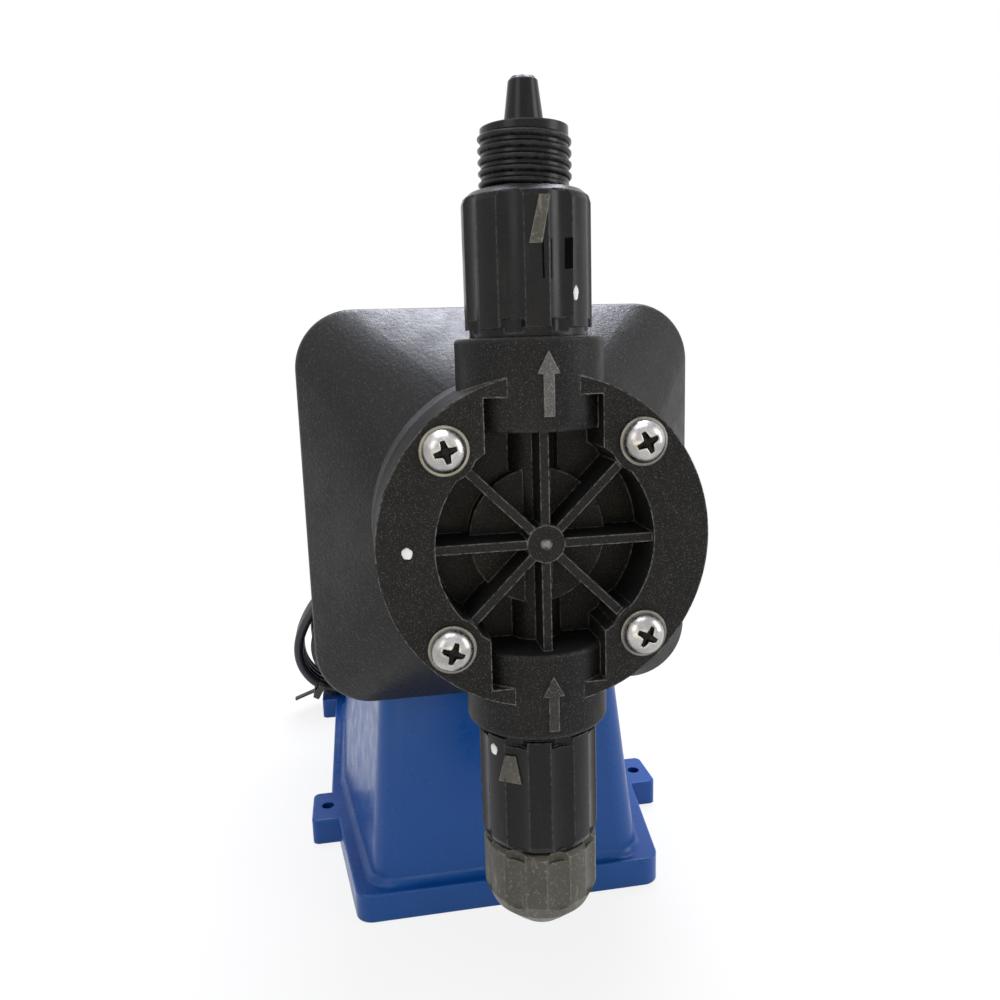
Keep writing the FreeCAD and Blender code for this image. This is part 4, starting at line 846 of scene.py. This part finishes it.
# Control points of one large turn, from its right side up and round, as x and z in mm.
LARGE_TURN = [(-29.5, 43), (-30.3, 56.2), (-35.6, 68), (-45.6, 75.6), (-57.8, 77.5),
              (-69.9, 76.3), (-80.2, 69.3), (-87.5, 58.4), (-92.4, 46.4), (-92, 33.3),
              (-85.5, 22.1), (-74.5, 15.4), (-62, 14.4), (-49.6, 14.9), (-38.2, 20.2),
              (-30.9, 30.4)]
LARGE_POINTS = 61
PLUG_END = Vector((-4, 68.5, 21.8)) * MM
TAIL_CORNERS = [(-33, 9, -7.2), (-20, 5, -5), (-9, 1, -0.4), (-0.3, 0.2, 0)]


def in_layer(x, z, layer):
    """A spot in a layer of turns, from 1 at the front to 5 at the back."""
    return Vector((x, COIL_Y + (layer - MIDDLE_LAYER) * LAYER, z)) * MM


route = [GLAND_END + Vector(corner) * MM for corner in FREE_CORNERS]
for i in range(SMALL_POINTS):
    angle = math.radians(SMALL_START + SMALL_STEP * i)
    spot = SMALL_CENTRE + SMALL_REACH * Vector((math.cos(angle), math.sin(angle)))
    route.append(in_layer(spot.x, spot.y, SMALL_BACK - SMALL_CROSSED * i / (SMALL_POINTS - 1)))
route += [in_layer(x, z, 1) for x, z in STEP_OUT]
for i in range(1, LARGE_POINTS + 1):
    x, z = LARGE_TURN[i % len(LARGE_TURN)]
    route.append(in_layer(x, z, 1 + i / len(LARGE_TURN)))
route += [PLUG_END + Vector(corner) * MM for corner in TAIL_CORNERS]
print("route points", len(route))

# %% [markdown]
# ## The cord's tube
#
# A cord is a round tube along a smooth line, which a curve with a round bevel gives directly.
# The NURBS spline passes near its points without kinks. Its order and its fixed ends are set
# after the points are added, because set before, they would be lost.

# %% Make the cord from the route
cord_curve = bpy.data.curves.new("mains_cord", "CURVE")
cord_curve.dimensions = "3D"
spline = cord_curve.splines.new("NURBS")
spline.points.add(len(route) - 1)
for point, place in zip(spline.points, route):
    point.co = (*place, 1.0)
spline.order_u = 3
spline.use_endpoint_u = True
spline.resolution_u = 6
cord_curve.bevel_depth = THICK / 2
cord_curve.bevel_resolution = 5
cord_curve.use_fill_caps = True
cord = bpy.data.objects.new("mains_cord", cord_curve)
bpy.context.scene.collection.objects.link(cord)
cord.data.materials.append(CORD)

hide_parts("power_cord", "power_cord_tail", "cord_coil")
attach(cord, "pump")

# %% [markdown]
# ## Strain relief
#
# Where a cord leaves a housing it would crease, so a soft ribbed sleeve stiffens its first
# stretch and gets thinner outwards. It starts inside the gland, and its rings then follow the
# first bend of the cord's own spline.

# %% Put the strain relief round the cord
SLEEVE_ROOT, SLEEVE_TIP = 5.0, 3.35
SLEEVE_RIBS = 7
SLEEVE_STEPS = 56
SLEEVE_SIDES = 28
RIB_RISE = 0.35
RIBS_FROM, RIBS_TO = 0.15, 0.95
INSIDE_GLAND = 4.0 * MM
STRETCH, HELD = 1.2, 0.2
LIP = 1.03

start, second, third = route[0], route[1], route[2]
sleeve_rings = []
for j in range(SLEEVE_STEPS + 1):
    share = j / SLEEVE_STEPS
    t = max(0.0, share * STRETCH - HELD)
    middle = start * (1 - t) ** 2 + second * (2 * t - 1.5 * t * t) + third * 0.5 * t * t
    if t == 0.0:
        middle = start - Vector((0, 1, 0)) * INSIDE_GLAND * (1 - share / (HELD / STRETCH))
    along = ((second - start) * (1 - t) + (third - second) * t).normalized()
    across = along.cross(Vector((0, 0, 1))).normalized()
    over = across.cross(along)
    rib = 0.0
    if RIBS_FROM < share < RIBS_TO:
        rib = RIB_RISE * max(0.0, math.sin(2 * math.pi * SLEEVE_RIBS * share))
    radius = (SLEEVE_ROOT + (SLEEVE_TIP - SLEEVE_ROOT) * share + rib) * MM
    if j == SLEEVE_STEPS:
        radius = (THICK / 2) * LIP
    sleeve_rings.append([middle + (across * math.cos(angle) + over * math.sin(angle)) * radius
                         for angle in around(SLEEVE_SIDES)])
loft("strain_relief", sleeve_rings, CORD)
print("strain relief", round((sleeve_rings[-1][0] - sleeve_rings[0][0]).length / MM, 1), "mm")

# %% [markdown]
# ## The plug
#
# The plug is moulded onto the cord's end: a cone that takes the cord, then a grip with ridges
# and a flat face. It is lofted along X over rounded sections, from a circle at the cord to
# nearly a rectangle at the face.

# %% Loft the plug
# Sections as the place along X, half the width, half the height and the squareness.
CONE = [(-4, 5.0, 5.0, 2.0), (2, 6.4, 6.4, 2.0), (6, 7.9, 7.7, 2.2), (7.5, 10.6, 9.2, 3.0),
        (9, 11.6, 9.8, 4.0)]
PLUG_FACE = 30.0
FRONT = [(25.5, 12, 10, 6.0), (29.2, 12, 10, 6.0), (PLUG_FACE, 11.3, 9.3, 6.0)]
GRIP_START, GRIP_END = 10.0, 24.0
GRIP_WIDTH, GRIP_HEIGHT, GRIP_SQUARE = 12, 9.9, 5.0
GRIP_RIDGES, RIDGE_STEPS = 5, 8
GRIP_STEPS = GRIP_RIDGES * RIDGE_STEPS
RIDGE_DIP, DIP_ABOVE = 0.45, 0.4
PLUG_SIDES, PIN_SIDES = 40, 24


def rounded_section(x, half_y, half_z, squareness, middle, count=PLUG_SIDES):
    """A ring between an ellipse and a rectangle."""
    ring = []
    for angle in around(count):
        c, s = math.cos(angle), math.sin(angle)
        ring.append(Vector((x, middle[0] + half_y * math.copysign(abs(c) ** (2 / squareness), c),
                            middle[1] + half_z * math.copysign(abs(s) ** (2 / squareness), s)))
                    * MM)
    return ring


plug_middle = (PLUG_END.y / MM, PLUG_END.z / MM)
plug_rings = [rounded_section(*section, plug_middle) for section in CONE]
for j in range(GRIP_STEPS + 1):
    x = GRIP_START + (GRIP_END - GRIP_START) * j / GRIP_STEPS
    dip = RIDGE_DIP * (1 - math.cos(2 * math.pi * j / RIDGE_STEPS))
    plug_rings.append(rounded_section(x, GRIP_WIDTH - dip, GRIP_HEIGHT - dip * DIP_ABOVE,
                                      GRIP_SQUARE, plug_middle))
plug_rings += [rounded_section(*section, plug_middle) for section in FRONT]
plug = loft("mains_plug", plug_rings, CORD)
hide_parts("power_plug")
print("plug sections", len(plug_rings))

# %% [markdown]
# ## Blades and the earth pin
#
# Two flat blades and a round earth pin stand out from the plug's face, lofted over the same
# kind of sections. With them the cord is complete.

# %% Add the blades and the earth pin
PIN_ROOT, PIN_TIP = PLUG_FACE - 1, 46.0
BLADE_OFFSET, BLADE_Z, EARTH_Z = 6.35, 19.8, 27.4
BLADE = [(PIN_ROOT, 0.75, 3.2, 8.0), (PIN_TIP - 1.5, 0.75, 3.2, 8.0), (PIN_TIP, 0.45, 2.5, 8.0)]
EARTH_PIN = [(PIN_ROOT, 2.4, 2.4, 2.0), (43.6, 2.4, 2.4, 2.0), (45.2, 1.9, 1.9, 2.0),
             (PIN_TIP, 1.0, 1.0, 2.0)]

for name, side, z, sections in (("front_blade", -BLADE_OFFSET, BLADE_Z, BLADE),
                                ("rear_blade", BLADE_OFFSET, BLADE_Z, BLADE),
                                ("earth_pin", 0.0, EARTH_Z, EARTH_PIN)):
    middle = (plug_middle[0] + side, z)
    pin_rings = [rounded_section(*section, middle, PIN_SIDES) for section in sections]
    loft(name, pin_rings, BRASS)

# %% [markdown]
# ## The floor
#
# The photograph has a plain white ground. The floor mixes a matt white that takes the shadow
# with a plain white that only the camera, reflections and glass see, and the plain white
# takes over away from the pump, so that no horizon shows.

# %% Lay the floor
NEAR_SHARE = 0.84
FADE_START, FADE_END = 0.16, 0.42
FLOOR_DROP = 0.4 * MM


def seen_directly(tree):
    """One for the camera's rays and for those that a mirror or glass sends on."""
    path = tree.nodes.new("ShaderNodeLightPath")
    first = combine(tree, "MAXIMUM", path.outputs["Is Camera Ray"], path.outputs["Is Glossy Ray"])
    return combine(tree, "MAXIMUM", first, path.outputs["Is Transmission Ray"])


floor_material, floor_tree, floor_shader = new_material("white_floor")
floor_shader.inputs["Base Color"].default_value = (0.8, 0.8, 0.8, 1)
floor_shader.inputs["Roughness"].default_value = 0.9
floor_shader.inputs["Specular IOR Level"].default_value = 0.1
plain_white = floor_tree.nodes.new("ShaderNodeEmission")
plain_white.inputs["Color"].default_value = (1, 1, 1, 1)
plain_white.inputs["Strength"].default_value = 1.0
floor_place = floor_tree.nodes.new("ShaderNodeTexCoord")
distance = floor_tree.nodes.new("ShaderNodeVectorMath")
distance.operation = "LENGTH"
floor_tree.links.new(floor_place.outputs["Object"], distance.inputs[0])
away = ramp(floor_tree, distance.outputs["Value"], FADE_START, FADE_END, NEAR_SHARE, 1.0)
floor_mix = floor_tree.nodes.new("ShaderNodeMixShader")
floor_tree.links.new(combine(floor_tree, "MULTIPLY", away, seen_directly(floor_tree)),
                     floor_mix.inputs["Fac"])
floor_tree.links.new(floor_shader.outputs["BSDF"], floor_mix.inputs[1])
floor_tree.links.new(plain_white.outputs["Emission"], floor_mix.inputs[2])
floor_tree.links.new(floor_mix.outputs["Shader"],
                     floor_tree.nodes["Material Output"].inputs["Surface"])

floor_mesh = bpy.data.meshes.new("floor")
floor_mesh.from_pydata([(-4, -3, 0), (4, -3, 0), (4, 5, 0), (-4, 5, 0)], [], [(0, 1, 2, 3)])
floor = bpy.data.objects.new("floor", floor_mesh)
floor.location.z = -FLOOR_DROP
bpy.context.scene.collection.objects.link(floor)
floor_mesh.materials.append(floor_material)
print("floor laid at", round(floor.location.z / MM, 2), "mm")

# %% [markdown]
# ## The lamps
#
# The light in the photograph is soft and comes from above. A cool lamp hangs overhead and one
# behind for the grain on the housing's top. Weaker ones stand at both sides, and a warm one
# low down gives the lower parts their olive tint. All are areas, which cast soft shadows.

# %% Hang the lamps
COOL, WARM, WHITE = (0.86, 0.88, 1.0), (1.0, 0.86, 0.5), (1, 1, 1)


def area_lamp(name, place, target, size, power, colour):
    data = bpy.data.lights.new(name, "AREA")
    data.shape = "RECTANGLE"
    data.size, data.size_y = size
    data.energy = power
    data.color = colour
    lamp = bpy.data.objects.new(name, data)
    bpy.context.scene.collection.objects.link(lamp)
    lamp.location = place
    lamp.rotation_euler = (Vector(target) - Vector(place)).to_track_quat("-Z", "Y").to_euler()


area_lamp("overhead", place=(-0.1, -0.1, 1.25), target=(0, -0.1, 0.15), size=(1.0, 0.8),
          power=8, colour=COOL)
area_lamp("behind_above", place=(0.15, 0.35, 1.2), target=(0, -0.1, 0.2), size=(0.6, 0.6),
          power=22, colour=COOL)
area_lamp("front_left", place=(-1.0, -1.0, 0.8), target=(0, -0.1, 0.15), size=(0.6, 0.8),
          power=3, colour=WHITE)
area_lamp("right_side", place=(1.1, -0.6, 0.5), target=(0, -0.1, 0.12), size=(0.5, 0.9),
          power=5, colour=WHITE)
area_lamp("low_warm", place=(-0.2, -1.0, 0.08), target=(0, -0.1, 0.1), size=(1.0, 0.15),
          power=1.2, colour=WARM)
print("lamps", [lamp.name for lamp in bpy.data.lights])

# %% [markdown]
# ## The world
#
# The world fills the shadows with a weak, even light, but the camera, reflections and glass
# see it plain white. One mix node chooses between the two by the kind of ray.

# %% Set the world
WORLD_LIGHT = 0.3
WORLD_SEEN = 1.0

world = bpy.data.worlds.new("studio")
world.use_nodes = True
bpy.context.scene.world = world
tree = world.node_tree
background = tree.nodes["Background"]
background.inputs["Color"].default_value = (1, 1, 1, 1)
background.inputs["Strength"].default_value = WORLD_LIGHT
seen = tree.nodes.new("ShaderNodeBackground")
seen.inputs["Color"].default_value = (1, 1, 1, 1)
seen.inputs["Strength"].default_value = WORLD_SEEN
choose = tree.nodes.new("ShaderNodeMixShader")
tree.links.new(seen_directly(tree), choose.inputs["Fac"])
tree.links.new(background.outputs["Background"], choose.inputs[1])
tree.links.new(seen.outputs["Background"], choose.inputs[2])
tree.links.new(choose.outputs["Shader"], tree.nodes["World Output"].inputs["Surface"])
bpy.context.scene.view_settings.view_transform = "Standard"
print("world lights the pump with", WORLD_LIGHT, "and is seen as", WORLD_SEEN)
